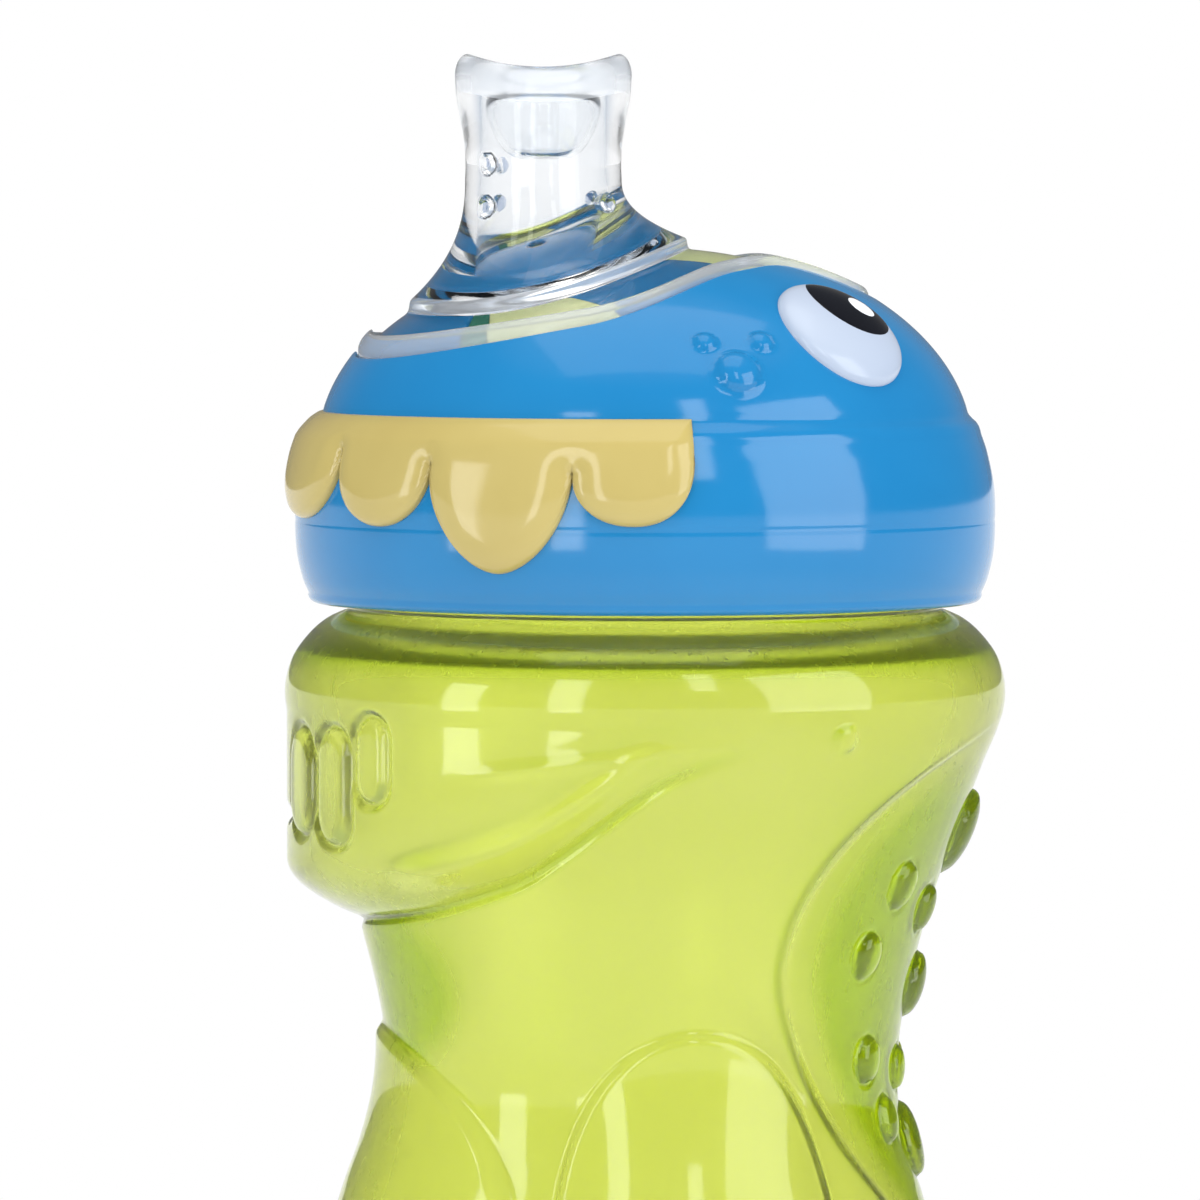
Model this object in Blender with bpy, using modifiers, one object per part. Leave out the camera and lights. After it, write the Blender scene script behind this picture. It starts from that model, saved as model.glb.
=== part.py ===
"""Child's spill-proof drinking cup in the shape of a small friendly dinosaur.

A lime-green bottle, a blue dome lid that screws on, a clear silicone spout that is held in the
lid's opening, a slit valve inside the spout and a loose sealing ring.  The creature looks along -Y.
All sizes below are millimetres, the scene itself is in metres.  Angles called "turn" are degrees
round the cup's axis, 0 at the creature's face (-Y), 90 at +X and 180 at its back.
"""
import bpy
import bmesh
from math import atan2, cos, degrees, exp, hypot, pi, radians, sin, sqrt
from mathutils import Vector

MM = 0.001
GAP = 0.3                     # play between neighbouring pieces

# ---------------------------------------------------------------- driving dimensions
WALL = 1.6                    # bottle wall
FLOOR = 2.2                   # thickness of the bottle's bottom
SHOULDER_TOP = 120.4          # where the shoulder meets the neck
NECK_OUTER = 30.6
NECK_INNER = 28.6
RIM = 134.5                   # top of the bottle's neck

PITCH = 5.5                   # rise of the lid in one turn
THREAD_DEPTH = 1.3
BOTTLE_THREAD_START = 126.2
BOTTLE_THREAD_TURNS = 1.0
LID_THREAD_DROP = 1.75        # lid thread lies this far under the bottle thread
LID_THREAD_TURNS = 0.8
LID_THREAD_FIRST_TURN = 36.0

LID_BOTTOM = 121.0
LID_BORE = 32.4
SHELF_INNER = 29.6            # shelf inside the lid that presses on the seal
SHELF_LOW = 136.7
SHELF_HIGH = 138.6
DOME_RADIUS = 34.2            # the dome is half an ellipsoid
DOME_HEIGHT = 22.1
DOME_CENTRE = 136.8
LID_WALL = 2.0
BAND_TOP = 140.9              # ridge round the lid, top edge of the teeth

SEAL_INNER = 28.9
SEAL_OUTER = 31.0
SEAL_LOW = RIM + GAP
SEAL_HIGH = SHELF_LOW - GAP

OPENING_CENTRE_Y = -6.0
SPOUT_Y = -10.6               # the mouthpiece stands forward of the axis
SPOUT_SEGMENTS = 48           # points round the spout, and round the opening that holds it
SPOUT_TOP = 178.0
NECK_PLANE = 165.0            # narrowest plane of the mouthpiece

EYE_TURN = 136.5
EYE_PLAN_RADIUS = 27.8
EYE_RADIUS = 7.3
PUPIL_RADIUS = 3.9
PUPIL_SHIFT = (2.3, 2.5)      # towards the back, and up the dome

BASE_RING_INNER = 22.0        # the flat ring that the bottle stands on starts here
RELIEF_FULL = 28.0            # the relief fades out from this radius to the base ring

BOTTLE_STEPS = 42
LID_STEPS = 48

# The bottle's plain outline, height and radius, before any relief.
TORSO = (
    (0.0, 29.5), (0.7, 31.2), (2.5, 32.9), (6.0, 33.9), (14.0, 34.5), (27.0, 34.6), (40.0, 33.9),
    (50.0, 32.0), (60.0, 29.3), (65.0, 27.8), (70.0, 27.0), (75.0, 27.1), (80.0, 27.9), (85.0, 29.1),
    (90.0, 30.5), (95.0, 32.3), (100.0, 34.2), (105.0, 36.1), (108.0, 37.0), (111.7, 37.6),
    (115.0, 36.9), (117.5, 35.2), (119.3, 33.1), (SHOULDER_TOP, NECK_OUTER),
)
# Lower edge of the arms that reach round to the front, turn and height.
ARM_EDGE = (
    (0.0, 88.0), (40.0, 90.0), (65.0, 93.5), (76.0, 97.0), (94.0, 104.5), (110.0, 108.0), (130.0, 111.0),
)
ARM_RADIUS = 37.4
ARM_ROUNDING = 6.3
CLAW_TURNS = (17.0, 29.0, 38.0)
# Raised ovals low on the body: turn, height, half width in degrees, half height up and down, relief.
THIGHS = (
    (0.0, 55.0, 65.0, 22.5, 32.0, 2.4),
    (101.0, 60.0, 30.0, 18.5, 34.0, 2.3),
    (-101.0, 60.0, 30.0, 18.5, 34.0, 2.3),
    (38.0, 11.0, 26.0, 11.0, 9.5, 1.9),
    (-38.0, 11.0, 26.0, 11.0, 9.5, 1.9),
)
PANEL_DEPTH = 1.1
# Round warts on the back panel: turns from the back's middle line, height, radius, relief.
WARTS = (
    (0.0, 97.0, 3.8, 1.9), (0.0, 81.0, 3.0, 1.7), (0.0, 64.8, 3.4, 1.6),
    (14.0, 89.4, 2.1, 1.1), (9.0, 72.6, 2.0, 1.0),
    (30.6, 92.3, 2.1, 1.1), (37.4, 85.2, 2.1, 1.1), (30.3, 74.2, 2.1, 1.1), (20.6, 67.7, 2.1, 1.1),
)


# ---------------------------------------------------------------- small helpers
def smooth_curve(points, at):
    """Value at a place on the smooth curve through (place, value) points."""
    if at <= points[0][0]:
        return points[0][1]
    if at >= points[-1][0]:
        return points[-1][1]
    i = 0
    while points[i + 1][0] < at:
        i += 1

    def slope(k):
        lo = max(k - 1, 0)
        hi = min(k + 1, len(points) - 1)
        return (points[hi][1] - points[lo][1]) / (points[hi][0] - points[lo][0])

    (x0, y0), (x1, y1) = points[i], points[i + 1]
    span = x1 - x0
    t = (at - x0) / span
    rise = (2 * t ** 3 - 3 * t ** 2 + 1) * y0 + (3 * t ** 2 - 2 * t ** 3) * y1
    return rise + span * ((t ** 3 - 2 * t ** 2 + t) * slope(i) + (t ** 3 - t ** 2) * slope(i + 1))


def smoothstep(low, high, value):
    t = min(max((value - low) / (high - low), 0.0), 1.0)
    return t * t * (3 - 2 * t)


def turn_point(turn, radius, z):
    """Point at a turn in degrees from the face, a radius and a height."""
    return Vector((radius * sin(radians(turn)), -radius * cos(radians(turn)), z))


def turn_apart(a, b):
    """Smallest difference of two turns, in degrees."""
    return abs((a - b + 180.0) % 360.0 - 180.0)


def material(name, colour, roughness, alpha=1.0):
    made = bpy.data.materials.new(name)
    made.use_nodes = True
    shader = made.node_tree.nodes["Principled BSDF"]
    shader.inputs["Base Color"].default_value = (*colour, 1.0)
    shader.inputs["Roughness"].default_value = roughness
    shader.inputs["Metallic"].default_value = 0.0
    shader.inputs["Alpha"].default_value = alpha
    return made


def add_object(name, mesh, finish, group, smooth_degrees=35.0):
    made = bpy.data.objects.new(name, mesh)
    if finish:
        mesh.materials.clear()
        mesh.materials.append(finish)
    group.objects.link(made)
    mesh.shade_smooth()
    mesh.set_sharp_from_angle(angle=radians(smooth_degrees))
    return made


def applied(source):
    """Mesh of an object with its modifiers applied; the source object is removed."""
    depsgraph = bpy.context.evaluated_depsgraph_get()
    depsgraph.update()
    mesh = bpy.data.meshes.new_from_object(source.evaluated_get(depsgraph))
    bpy.data.objects.remove(source)
    return mesh


def turned(name, profile, steps, group):
    """Mesh turned from (radius, height) points, which run down the outer side."""
    bm = bmesh.new()
    verts = [bm.verts.new((r * MM, 0.0, z * MM)) for r, z in profile]
    for a, b in zip(verts, verts[1:]):
        bm.edges.new((a, b))
    mesh = bpy.data.meshes.new(name)
    bm.to_mesh(mesh)
    bm.free()
    made = bpy.data.objects.new(name, mesh)
    group.objects.link(made)
    screw = made.modifiers.new("turn", "SCREW")
    screw.steps = steps
    screw.render_steps = steps
    screw.use_merge_vertices = True
    screw.merge_threshold = 0.00005
    return applied(made)


def lofted(name, rings, wrap):
    """Mesh through equal rings of points; wrap joins the last ring to the first, else ends are capped."""
    count = len(rings[0])
    bm = bmesh.new()
    rows = [[bm.verts.new(p * MM) for p in ring] for ring in rings]
    pairs = list(zip(rows, rows[1:]))
    if wrap:
        pairs.append((rows[-1], rows[0]))
    for low, high in pairs:
        for i in range(count):
            j = (i + 1) % count
            bm.faces.new((low[i], low[j], high[j], high[i]))
    if not wrap:
        bm.faces.new(rows[0][::-1])
        bm.faces.new(rows[-1])
    bmesh.ops.recalc_face_normals(bm, faces=bm.faces)
    mesh = bpy.data.meshes.new(name)
    bm.to_mesh(mesh)
    bm.free()
    return mesh


def boolean(target, tool, operation):
    """Adds a Boolean modifier; the tool becomes a hidden wire guide."""
    tool.hide_render = True
    tool.display_type = "WIRE"
    modifier = target.modifiers.new(tool.name, "BOOLEAN")
    modifier.object = tool
    modifier.operation = operation
    modifier.solver = "EXACT"


# ---------------------------------------------------------------- bottle
def ellipse_share(turn, z, thigh):
    """1 in the middle of a raised oval, 0 on its outline and outside it."""
    centre, height, half_turn, up, down, _ = thigh
    across = turn_apart(turn, centre) / half_turn
    along = (z - height) / (up if z > height else down)
    return max(0.0, 1.0 - across ** 2 - along ** 2)


def panel_half_width(z):
    """Half width in degrees of the leaf-shaped back panel at a height."""
    widest, level, rise, drop = 61.0, 84.0, 25.3, 40.0
    if z >= level:
        return widest * sqrt(max(0.0, 1.0 - ((z - level) / rise) ** 2))
    return widest * max(0.0, 1.0 - ((level - z) / drop) ** 1.45)


def arm_share(turn, z):
    """0 below the arm's lower edge, rising to 1 where the arm is full."""
    side = turn_apart(turn, 0.0)
    above = z - smooth_curve(ARM_EDGE, side)
    t = min(max(above / ARM_ROUNDING, 0.0), 1.0)
    return sin(pi / 2 * t) * (1.0 - smoothstep(112.0, 132.0, side))


def body_radius(turn, z):
    """Radius of the bottle with its large relief: arms, thighs, feet and back panel."""
    torso = smooth_curve(TORSO, z)
    radius = torso + max(0.0, ARM_RADIUS - torso) * arm_share(turn, z) * (z < 112.0)
    for thigh in THIGHS:
        share = ellipse_share(turn, z, thigh)
        radius += thigh[5] * (0.25 * smoothstep(0.0, 0.08, share) + 0.75 * share ** 1.4)
    inside = panel_half_width(z) - turn_apart(turn, 180.0)
    return radius - PANEL_DEPTH * smoothstep(-1.5, 1.5, inside) * (1.0 - smoothstep(104.0, 110.0, z))


def fine_relief(turn, z):
    """Small relief of the outer face only: grooves between the claws and warts on the back."""
    side = turn_apart(turn, 0.0)
    relief = 0.0
    for claw in CLAW_TURNS:
        across = (side - claw) / 2.2
        along = (z - 103.3) / 5.6
        relief -= 0.8 * exp(-across ** 2) * max(0.0, 1.0 - along ** 4)
    relief -= 1.0 * exp(-((z - 99.0) / 1.0) ** 2) * (1.0 - smoothstep(22.0, 34.0, side))
    back = turn_apart(turn, 180.0)
    for wart_turn, height, radius, bulge in WARTS:
        away = hypot(radians(back - wart_turn) * smooth_curve(TORSO, z), z - height) / radius
        relief += bulge * sqrt(max(0.0, 1.0 - away ** 2))
    return relief


def bottle_profile():
    inner_heights = (5.0, 10.0, 18.0, 28.0, 38.0, 48.0, 56.0, 63.0, 70.0, 77.0, 83.0, 87.0, 89.5, 92.0,
                     95.0, 99.0, 104.0, 109.0, 112.5, 116.0)
    outer_heights = (119.3, 117.5, 115.0, 112.5, 109.0, 106.0, 103.0, 100.5, 99.0, 97.0, 95.0, 93.0, 91.2,
                     89.5, 87.8, 85.0, 81.0, 77.0, 73.0, 69.5, 66.0, 62.5, 58.0, 52.0, 45.0, 37.0, 29.0,
                     22.0, 16.0, 10.0, 5.0, 2.0, 0.7, 0.0)
    inside = [(0.0, FLOOR), (BASE_RING_INNER, FLOOR), (28.5, FLOOR + 0.5)]
    inside += [(smooth_curve(TORSO, z) - WALL, z) for z in inner_heights]
    neck = [
        (30.6, 118.2), (NECK_INNER, 120.4), (NECK_INNER, RIM - 0.4), (NECK_INNER + 0.4, RIM),
        (NECK_OUTER - 0.4, RIM), (NECK_OUTER, RIM - 0.4), (NECK_OUTER, SHOULDER_TOP + 1.2),
        (NECK_OUTER + 0.7, SHOULDER_TOP + 0.1),
    ]
    outside = [(smooth_curve(TORSO, z), z) for z in outer_heights]
    base = [(BASE_RING_INNER, 0.0), (BASE_RING_INNER - 2.5, 1.0), (0.0, 1.0)]
    return inside + neck + outside + base


def helical_ridge(name, root, crest, first_turn, turns, start, group):
    """Thread ridge with a trapezium section and tapered ends, for a Boolean union."""
    half_root, half_crest, sections, taper = 1.15, 0.5, int(turns * 40), 4
    into_wall = root + (root - crest) * 0.45
    rings = []
    for k in range(sections + 1):
        angle = first_turn + 360.0 * turns * k / sections
        height = start + PITCH * turns * k / sections
        share = min(1.0, 0.12 + min(k, sections - k) / taper)
        top = root + (crest - root) * share
        corners = ((into_wall, -half_root), (root, -half_root), (top, -half_crest),
                   (top, half_crest), (root, half_root), (into_wall, half_root))
        rings.append([Vector((r * cos(radians(angle)), r * sin(radians(angle)), height + dz))
                      for r, dz in corners])
    return add_object(name, lofted(name, rings, wrap=False), None, group)


def make_bottle(parts, tools):
    mesh = turned("bottle_body", bottle_profile(), BOTTLE_STEPS, tools)
    for vertex in mesh.vertices:
        x, y, z = vertex.co / MM
        radius = hypot(x, y)
        if z > SHOULDER_TOP or radius < BASE_RING_INNER + 0.5:
            continue
        turn = degrees(atan2(x, -y))
        plain = smooth_curve(TORSO, z)
        change = body_radius(turn, z) - plain
        if radius > plain - WALL / 2:
            change += fine_relief(turn, z)
        grown = (radius + change * smoothstep(BASE_RING_INNER, RELIEF_FULL, radius)) / radius
        vertex.co.x *= grown
        vertex.co.y *= grown
    green = material("green_plastic", (0.50, 0.74, 0.06), 0.12, 0.75)
    bottle = add_object("bottle_body", mesh, green, parts)
    ridge = helical_ridge("bottle_thread", NECK_OUTER, NECK_OUTER + THREAD_DEPTH, 0.0,
                          BOTTLE_THREAD_TURNS, BOTTLE_THREAD_START, tools)
    boolean(bottle, ridge, "UNION")


# ---------------------------------------------------------------- lid
def dome_z(radius, inset):
    """Height of the dome's surface, or of a surface inset from it, at a plan radius."""
    share = max(0.0, 1.0 - (radius / (DOME_RADIUS - inset)) ** 2)
    return DOME_CENTRE + (DOME_HEIGHT - inset) * sqrt(share)


def skirt_radius(z):
    """Outer radius of the lid's skirt, below the ridge."""
    skirt = ((LID_BOTTOM, 34.7), (122.0, 35.1), (123.4, 35.7), (126.0, 36.3), (129.0, 36.5),
             (133.0, 36.4), (136.5, 35.7), (138.6, 35.0))
    return smooth_curve(skirt, z)


def lid_radius(z):
    """Outer radius of the whole lid at a height."""
    ridge_low, ridge_high = 138.6, 140.6
    if z < ridge_low:
        return skirt_radius(z)
    height = (max(z, ridge_high) - DOME_CENTRE) / DOME_HEIGHT
    dome = DOME_RADIUS * sqrt(max(0.0, 1.0 - height ** 2))
    share = min(1.0, (z - ridge_low) / (ridge_high - ridge_low))
    return skirt_radius(ridge_low) * (1.0 - share) + dome * share


def lid_profile():
    arc = 11
    angles = [radians(90.0 - 80.0 * k / arc) for k in range(arc + 1)]
    outer = [(DOME_RADIUS * cos(a), DOME_CENTRE + DOME_HEIGHT * sin(a)) for a in angles]
    outer[0] = (0.0, outer[0][1])
    skirt = [(skirt_radius(z), z) for z in (138.6, 136.5, 133.0, 129.0, 125.5, 123.0, 121.6)]
    foot = [(34.3, LID_BOTTOM), (32.9, LID_BOTTOM), (LID_BORE, LID_BOTTOM + 0.7)]
    shelf = [(LID_BORE, SHELF_LOW), (SHELF_INNER, SHELF_LOW), (SHELF_INNER, SHELF_HIGH),
             (DOME_RADIUS - LID_WALL - 0.3, SHELF_HIGH + 0.4)]
    inner = [((DOME_RADIUS - LID_WALL) * cos(a), DOME_CENTRE + (DOME_HEIGHT - LID_WALL) * sin(a))
             for a in reversed(angles[:-1])]
    inner[-1] = (0.0, inner[-1][1])
    return outer + skirt + foot + shelf + inner


def opening_point(turn, grow):
    """Plan point on the lid's opening: a round front with a narrow tail over the crown."""
    side = turn_apart(turn, 0.0)
    reach = 24.0 + 2.1 * sin(radians(side)) - 4.2 * smoothstep(90.0, 135.0, side)
    reach += 9.7 * exp(-((180.0 - side) / 15.0) ** 2) + grow
    point = turn_point(turn, reach, 0.0)
    point.y += OPENING_CENTRE_Y
    return point


def dome_normal(point):
    """Outward normal of the dome at a point on it."""
    return Vector((point.x / DOME_RADIUS ** 2, point.y / DOME_RADIUS ** 2,
                   (point.z - DOME_CENTRE) / DOME_HEIGHT ** 2)).normalized()


def cheek_bump(name, turn, plan_radius, size, tools):
    """Low round bump on the cheek."""
    place = turn_point(turn, plan_radius, dome_z(plan_radius, 0.0))
    bm = bmesh.new()
    bmesh.ops.create_uvsphere(bm, u_segments=12, v_segments=8, radius=size * MM)
    mesh = bpy.data.meshes.new(name)
    bm.to_mesh(mesh)
    bm.free()
    bump = add_object(name, mesh, None, tools)
    bump.location = (place - 0.45 * size * dome_normal(place)) * MM
    return bump


def make_lid(parts, tools):
    mesh = turned("lid_shell", lid_profile(), LID_STEPS, tools)
    blue = material("blue_plastic", (0.03, 0.28, 0.68), 0.2)
    lid = add_object("lid_shell", mesh, blue, parts)
    outline = [opening_point(360.0 * k / SPOUT_SEGMENTS, 0.0) for k in range(SPOUT_SEGMENTS)]
    walls = [[Vector((p.x, p.y, z)) for p in outline] for z in (141.4, 170.0)]
    cutter = add_object("opening_cutter", lofted("opening_cutter", walls, wrap=False), None, tools)
    boolean(lid, cutter, "DIFFERENCE")
    start = BOTTLE_THREAD_START - LID_THREAD_DROP + PITCH * LID_THREAD_FIRST_TURN / 360.0
    ridge = helical_ridge("lid_thread", LID_BORE, LID_BORE - THREAD_DEPTH, LID_THREAD_FIRST_TURN,
                          LID_THREAD_TURNS, start, tools)
    boolean(lid, ridge, "UNION")
    bumps = ((107.2, 31.4, 2.4), (101.8, 29.0, 1.3), (113.8, 29.0, 1.4))
    for side in (1, -1):
        for number, (turn, plan_radius, size) in enumerate(bumps):
            name = "bump_%d_%s" % (number, "right" if side > 0 else "left")
            boolean(lid, cheek_bump(name, side * turn, plan_radius, size, tools), "UNION")


def make_teeth(parts):
    """Band of eight rounded teeth round the front of the lid, each one swelling outwards."""
    # Each tooth on one side: first and last turn, height of its two notches, tip, roundness.
    teeth = ((0.0, 30.7, 137.6, 137.2, 130.0, 2.1), (30.7, 53.0, 137.2, 136.2, 129.7, 2.1),
             (53.0, 78.1, 136.2, 135.4, 125.2, 1.8), (78.1, 97.7, 135.4, 136.8, 130.1, 2.2))
    columns_per_tooth, rows = 7, 5
    columns = []
    for first, last, notch_a, notch_b, tip, roundness in teeth:
        for k in range(columns_per_tooth):
            columns.append((first, last, notch_a, notch_b, tip, roundness, k / columns_per_tooth))
    columns.append((*teeth[-1], 1.0))
    half = []
    for first, last, notch_a, notch_b, tip, roundness, share in columns:
        across = 2.0 * share - 1.0
        notch = notch_a + (notch_b - notch_a) * share
        depth = max(0.0, 1.0 - abs(across) ** roundness) ** (1.0 / roundness)
        half.append((first + (last - first) * share, notch + (tip - notch) * depth, 1.0 - across ** 2))
    lines = [(-turn, low, swell) for turn, low, swell in reversed(half[1:])] + half

    rings = []
    for turn, low, swell in lines:
        heights = [low + (BAND_TOP - low) * k / rows for k in range(rows + 1)]
        inside = []
        outside = []
        for k, z in enumerate(heights):
            seat = lid_radius(z) + GAP
            bulge = 0.75 + 0.7 * swell * sin(pi * min(1.0, (k + 0.6) / rows)) ** 0.7
            inside.append(turn_point(turn, seat, z))
            outside.append(turn_point(turn, seat + bulge, z))
        rings.append(inside + outside[::-1])
    cream = material("cream_plastic", (0.66, 0.55, 0.19), 0.25)
    add_object("teeth_band", lofted("teeth_band", rings, wrap=False), cream, parts)


def make_seal(parts, tools):
    outline = ((SEAL_OUTER - 0.3, SEAL_HIGH), (SEAL_OUTER, SEAL_HIGH - 0.3), (SEAL_OUTER, SEAL_LOW + 0.3),
               (SEAL_OUTER - 0.3, SEAL_LOW), (SEAL_INNER, SEAL_LOW), (SEAL_INNER, SEAL_HIGH),
               (SEAL_OUTER - 0.3, SEAL_HIGH))
    mesh = turned("seal_ring", outline, BOTTLE_STEPS, tools)
    bm = bmesh.new()
    bm.from_mesh(mesh)
    bmesh.ops.remove_doubles(bm, verts=bm.verts, dist=0.00005)
    bm.to_mesh(mesh)
    bm.free()
    add_object("seal_ring", mesh, material("seal_silicone", (0.75, 0.76, 0.74), 0.5), parts)


# ---------------------------------------------------------------- eyes
def eye_disc(name, side, radius, shift, low, high, finish, parts):
    """Disc that follows the dome, between two heights above its surface."""
    centre = turn_point(side * EYE_TURN, EYE_PLAN_RADIUS, dome_z(EYE_PLAN_RADIUS, 0.0))
    normal = dome_normal(centre)
    back = Vector((0.0, 0.0, side)).cross(Vector((centre.x, centre.y, 0.0))).normalized()
    up = normal.cross(back) * side
    centre = centre + back * shift[0] + up * shift[1]

    def on_dome(distance, angle, height):
        flat = centre + distance * (cos(angle) * back + sin(angle) * up)
        plan = hypot(flat.x, flat.y)
        point = Vector((flat.x, flat.y, dome_z(plan, 0.0)))
        slide = flat - point
        point += slide - slide.dot(normal) * normal
        point.z = dome_z(hypot(point.x, point.y), 0.0)
        return point + height * dome_normal(point)

    segments = 20
    shares = (0.12, 0.55, 1.0)
    crown = [1.0, 0.97, 0.72]
    rings = []
    for share in shares:
        rings.append([on_dome(share * radius, 2 * pi * k / segments, low) for k in range(segments)])
    for share, lift in zip(reversed(shares), reversed(crown)):
        height = low + (high - low) * lift
        rings.append([on_dome(share * radius, 2 * pi * k / segments, height) for k in range(segments)])
    add_object(name, lofted(name, rings, wrap=False), finish, parts)


def make_eyes(parts):
    white = material("eye_white_plastic", (0.72, 0.78, 0.86), 0.2)
    black = material("eye_black_plastic", (0.006, 0.006, 0.009), 0.15)
    for name, side in (("right", 1), ("left", -1)):
        eye_disc("eye_" + name, side, EYE_RADIUS, (0.0, 0.0), GAP, 1.0, white, parts)
        eye_disc("pupil_" + name, side, PUPIL_RADIUS, PUPIL_SHIFT, 1.0 + GAP, 1.75, black, parts)


# ---------------------------------------------------------------- spout
def spout_ring(centre_y, half_x, half_y, height):
    """Ring round the spout; height is a number or a function of the plan point."""
    ring = []
    for k in range(SPOUT_SEGMENTS):
        angle = 360.0 * k / SPOUT_SEGMENTS
        x, y = half_x * sin(radians(angle)), centre_y - half_y * cos(radians(angle))
        z = height(x, y, angle) if callable(height) else height
        ring.append(Vector((x, y, z)))
    return ring


def between(ring_a, ring_b, share, height):
    """Ring part of the way from one plan outline to another."""
    ring = []
    for a, b in zip(ring_a, ring_b):
        p = a.lerp(b, share)
        ring.append(Vector((p.x, p.y, height(p.x, p.y))))
    return ring


def opening_ring(grow, inset):
    """Ring along the lid's opening at a surface inset from the dome; the front grows least."""
    ring = []
    for k in range(SPOUT_SEGMENTS):
        turn = 360.0 * k / SPOUT_SEGMENTS
        wider = grow * (0.1 + 0.9 * sin(radians(turn / 2)) ** 2) if grow > 0 else grow
        p = opening_point(turn, wider)
        ring.append(Vector((p.x, p.y, dome_z(hypot(p.x, p.y), inset))))
    return ring


def make_spout(parts):
    """Mouthpiece, its raised foot and the clear crown that fills the lid's opening, in one piece."""
    skin, lip_swing, foot_rise = 1.8, 1.4, 1.2

    def under(x, y, _=0.0):
        return dome_z(hypot(x, y), skin)

    def saddle(height):
        return lambda x, y, angle: height + lip_swing * (cos(radians(2 * angle)) - 1.0) / 2

    bore_foot = spout_ring(SPOUT_Y, 11.6, 7.6, under)
    bore = [
        bore_foot, spout_ring(SPOUT_Y, 10.8, 7.0, 160.5), spout_ring(SPOUT_Y, 10.4, 6.5, 165.0),
        spout_ring(SPOUT_Y, 10.4, 6.5, 170.0), spout_ring(SPOUT_Y, 10.6, 6.6, saddle(SPOUT_TOP - 2.6)),
    ]
    lip = [
        spout_ring(SPOUT_Y, 11.3, 7.3, saddle(SPOUT_TOP - 0.8)),
        spout_ring(SPOUT_Y, 12.3, 8.2, saddle(SPOUT_TOP)),
        spout_ring(SPOUT_Y, 13.2, 8.9, saddle(SPOUT_TOP - 0.5)),
        spout_ring(SPOUT_Y, 13.6, 9.2, saddle(SPOUT_TOP - 2.0)),
        spout_ring(SPOUT_Y, 13.3, 8.8, 172.0),
    ]
    waist = spout_ring(SPOUT_Y, 12.4, 8.1, 168.0)
    neck = spout_ring(SPOUT_Y, 12.3, 8.1, NECK_PLANE)
    foot = spout_ring(-10.1, 19.7, 14.3, lambda x, y, _: dome_z(hypot(x, y), 0.0) + foot_rise)
    cone = []
    for share in (0.25, 0.5, 0.7, 0.87):
        cone.append([Vector((a.x + (b.x - a.x) * share ** 1.7, a.y + (b.y - a.y) * share ** 1.7,
                             a.z + (b.z - a.z) * share)) for a, b in zip(neck, foot)])
    foot_low = spout_ring(-10.1, 20.0, 14.6, lambda x, y, _: dome_z(hypot(x, y), 0.0))
    edge = opening_ring(-GAP, 0.0)

    def surface(x, y):
        return dome_z(hypot(x, y), 0.0)

    crown = [foot_low, between(foot_low, edge, 0.35, surface), between(foot_low, edge, 0.7, surface), edge]
    flange = [
        opening_ring(-GAP, LID_WALL + 0.1), opening_ring(1.3, LID_WALL + 0.35),
        opening_ring(1.3, 2.9), opening_ring(-1.6, 2.9), opening_ring(-2.2, skin),
    ]
    inner = [between(opening_ring(-2.2, skin), bore_foot, 0.5, under)]
    rings = bore + lip + [waist, neck] + cone + [foot] + crown + flange + inner
    clear = material("clear_silicone", (0.86, 0.90, 0.93), 0.1, 0.35)
    add_object("spout", lofted("spout", rings, wrap=True), clear, parts)


def make_valve(parts, tools):
    """Soft cup inside the mouthpiece, whose slit lets drink through only when sucked."""
    half_x, half_y, top, bottom, wall = 9.95, 6.05, 173.6, 167.4, 1.1
    profile = [
        (0.0, bottom + 0.8), (0.78, bottom + 0.9), (0.87, bottom + 2.2), (0.87, top),
        (0.9, top + 0.25), (0.97, top + 0.25), (1.0, top), (1.0, bottom + 2.2), (0.93, bottom + 0.6),
        (0.78, bottom), (0.0, bottom),
    ]
    mesh = turned("spout_valve", [(r * half_x, z) for r, z in profile], 24, tools)
    for vertex in mesh.vertices:
        vertex.co.y = vertex.co.y * half_y / half_x + SPOUT_Y * MM
    silicone = material("valve_silicone", (0.80, 0.85, 0.90), 0.2, 0.5)
    valve = add_object("spout_valve", mesh, silicone, parts)
    bm = bmesh.new()
    bmesh.ops.create_cube(bm, size=1.0)
    bmesh.ops.scale(bm, vec=(8.0 * MM, 0.5 * MM, 4.0 * wall * MM), verts=bm.verts)
    slit_mesh = bpy.data.meshes.new("slit_cutter")
    bm.to_mesh(slit_mesh)
    bm.free()
    slit = add_object("slit_cutter", slit_mesh, None, tools)
    slit.location = (0.0, SPOUT_Y * MM, bottom * MM)
    boolean(valve, slit, "DIFFERENCE")


def main():
    for old in list(bpy.data.objects):
        bpy.data.objects.remove(old)
    parts = bpy.data.collections.new("kids_spout_cup")
    tools = bpy.data.collections.new("cutters")
    for group in (parts, tools):
        bpy.context.scene.collection.children.link(group)
    make_bottle(parts, tools)
    make_seal(parts, tools)
    make_lid(parts, tools)
    make_teeth(parts)
    make_eyes(parts)
    make_spout(parts)
    make_valve(parts, tools)


main()
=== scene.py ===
"""Looks of the child's soft-spout bottle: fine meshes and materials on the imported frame.

Lengths in the shape functions are millimetres; every mesh is made in metres by to_mesh.
A "turn" is an angle in degrees round the bottle's axis, 0 at the creature's face (-Y), 90 at +X.
"""
import math

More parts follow.
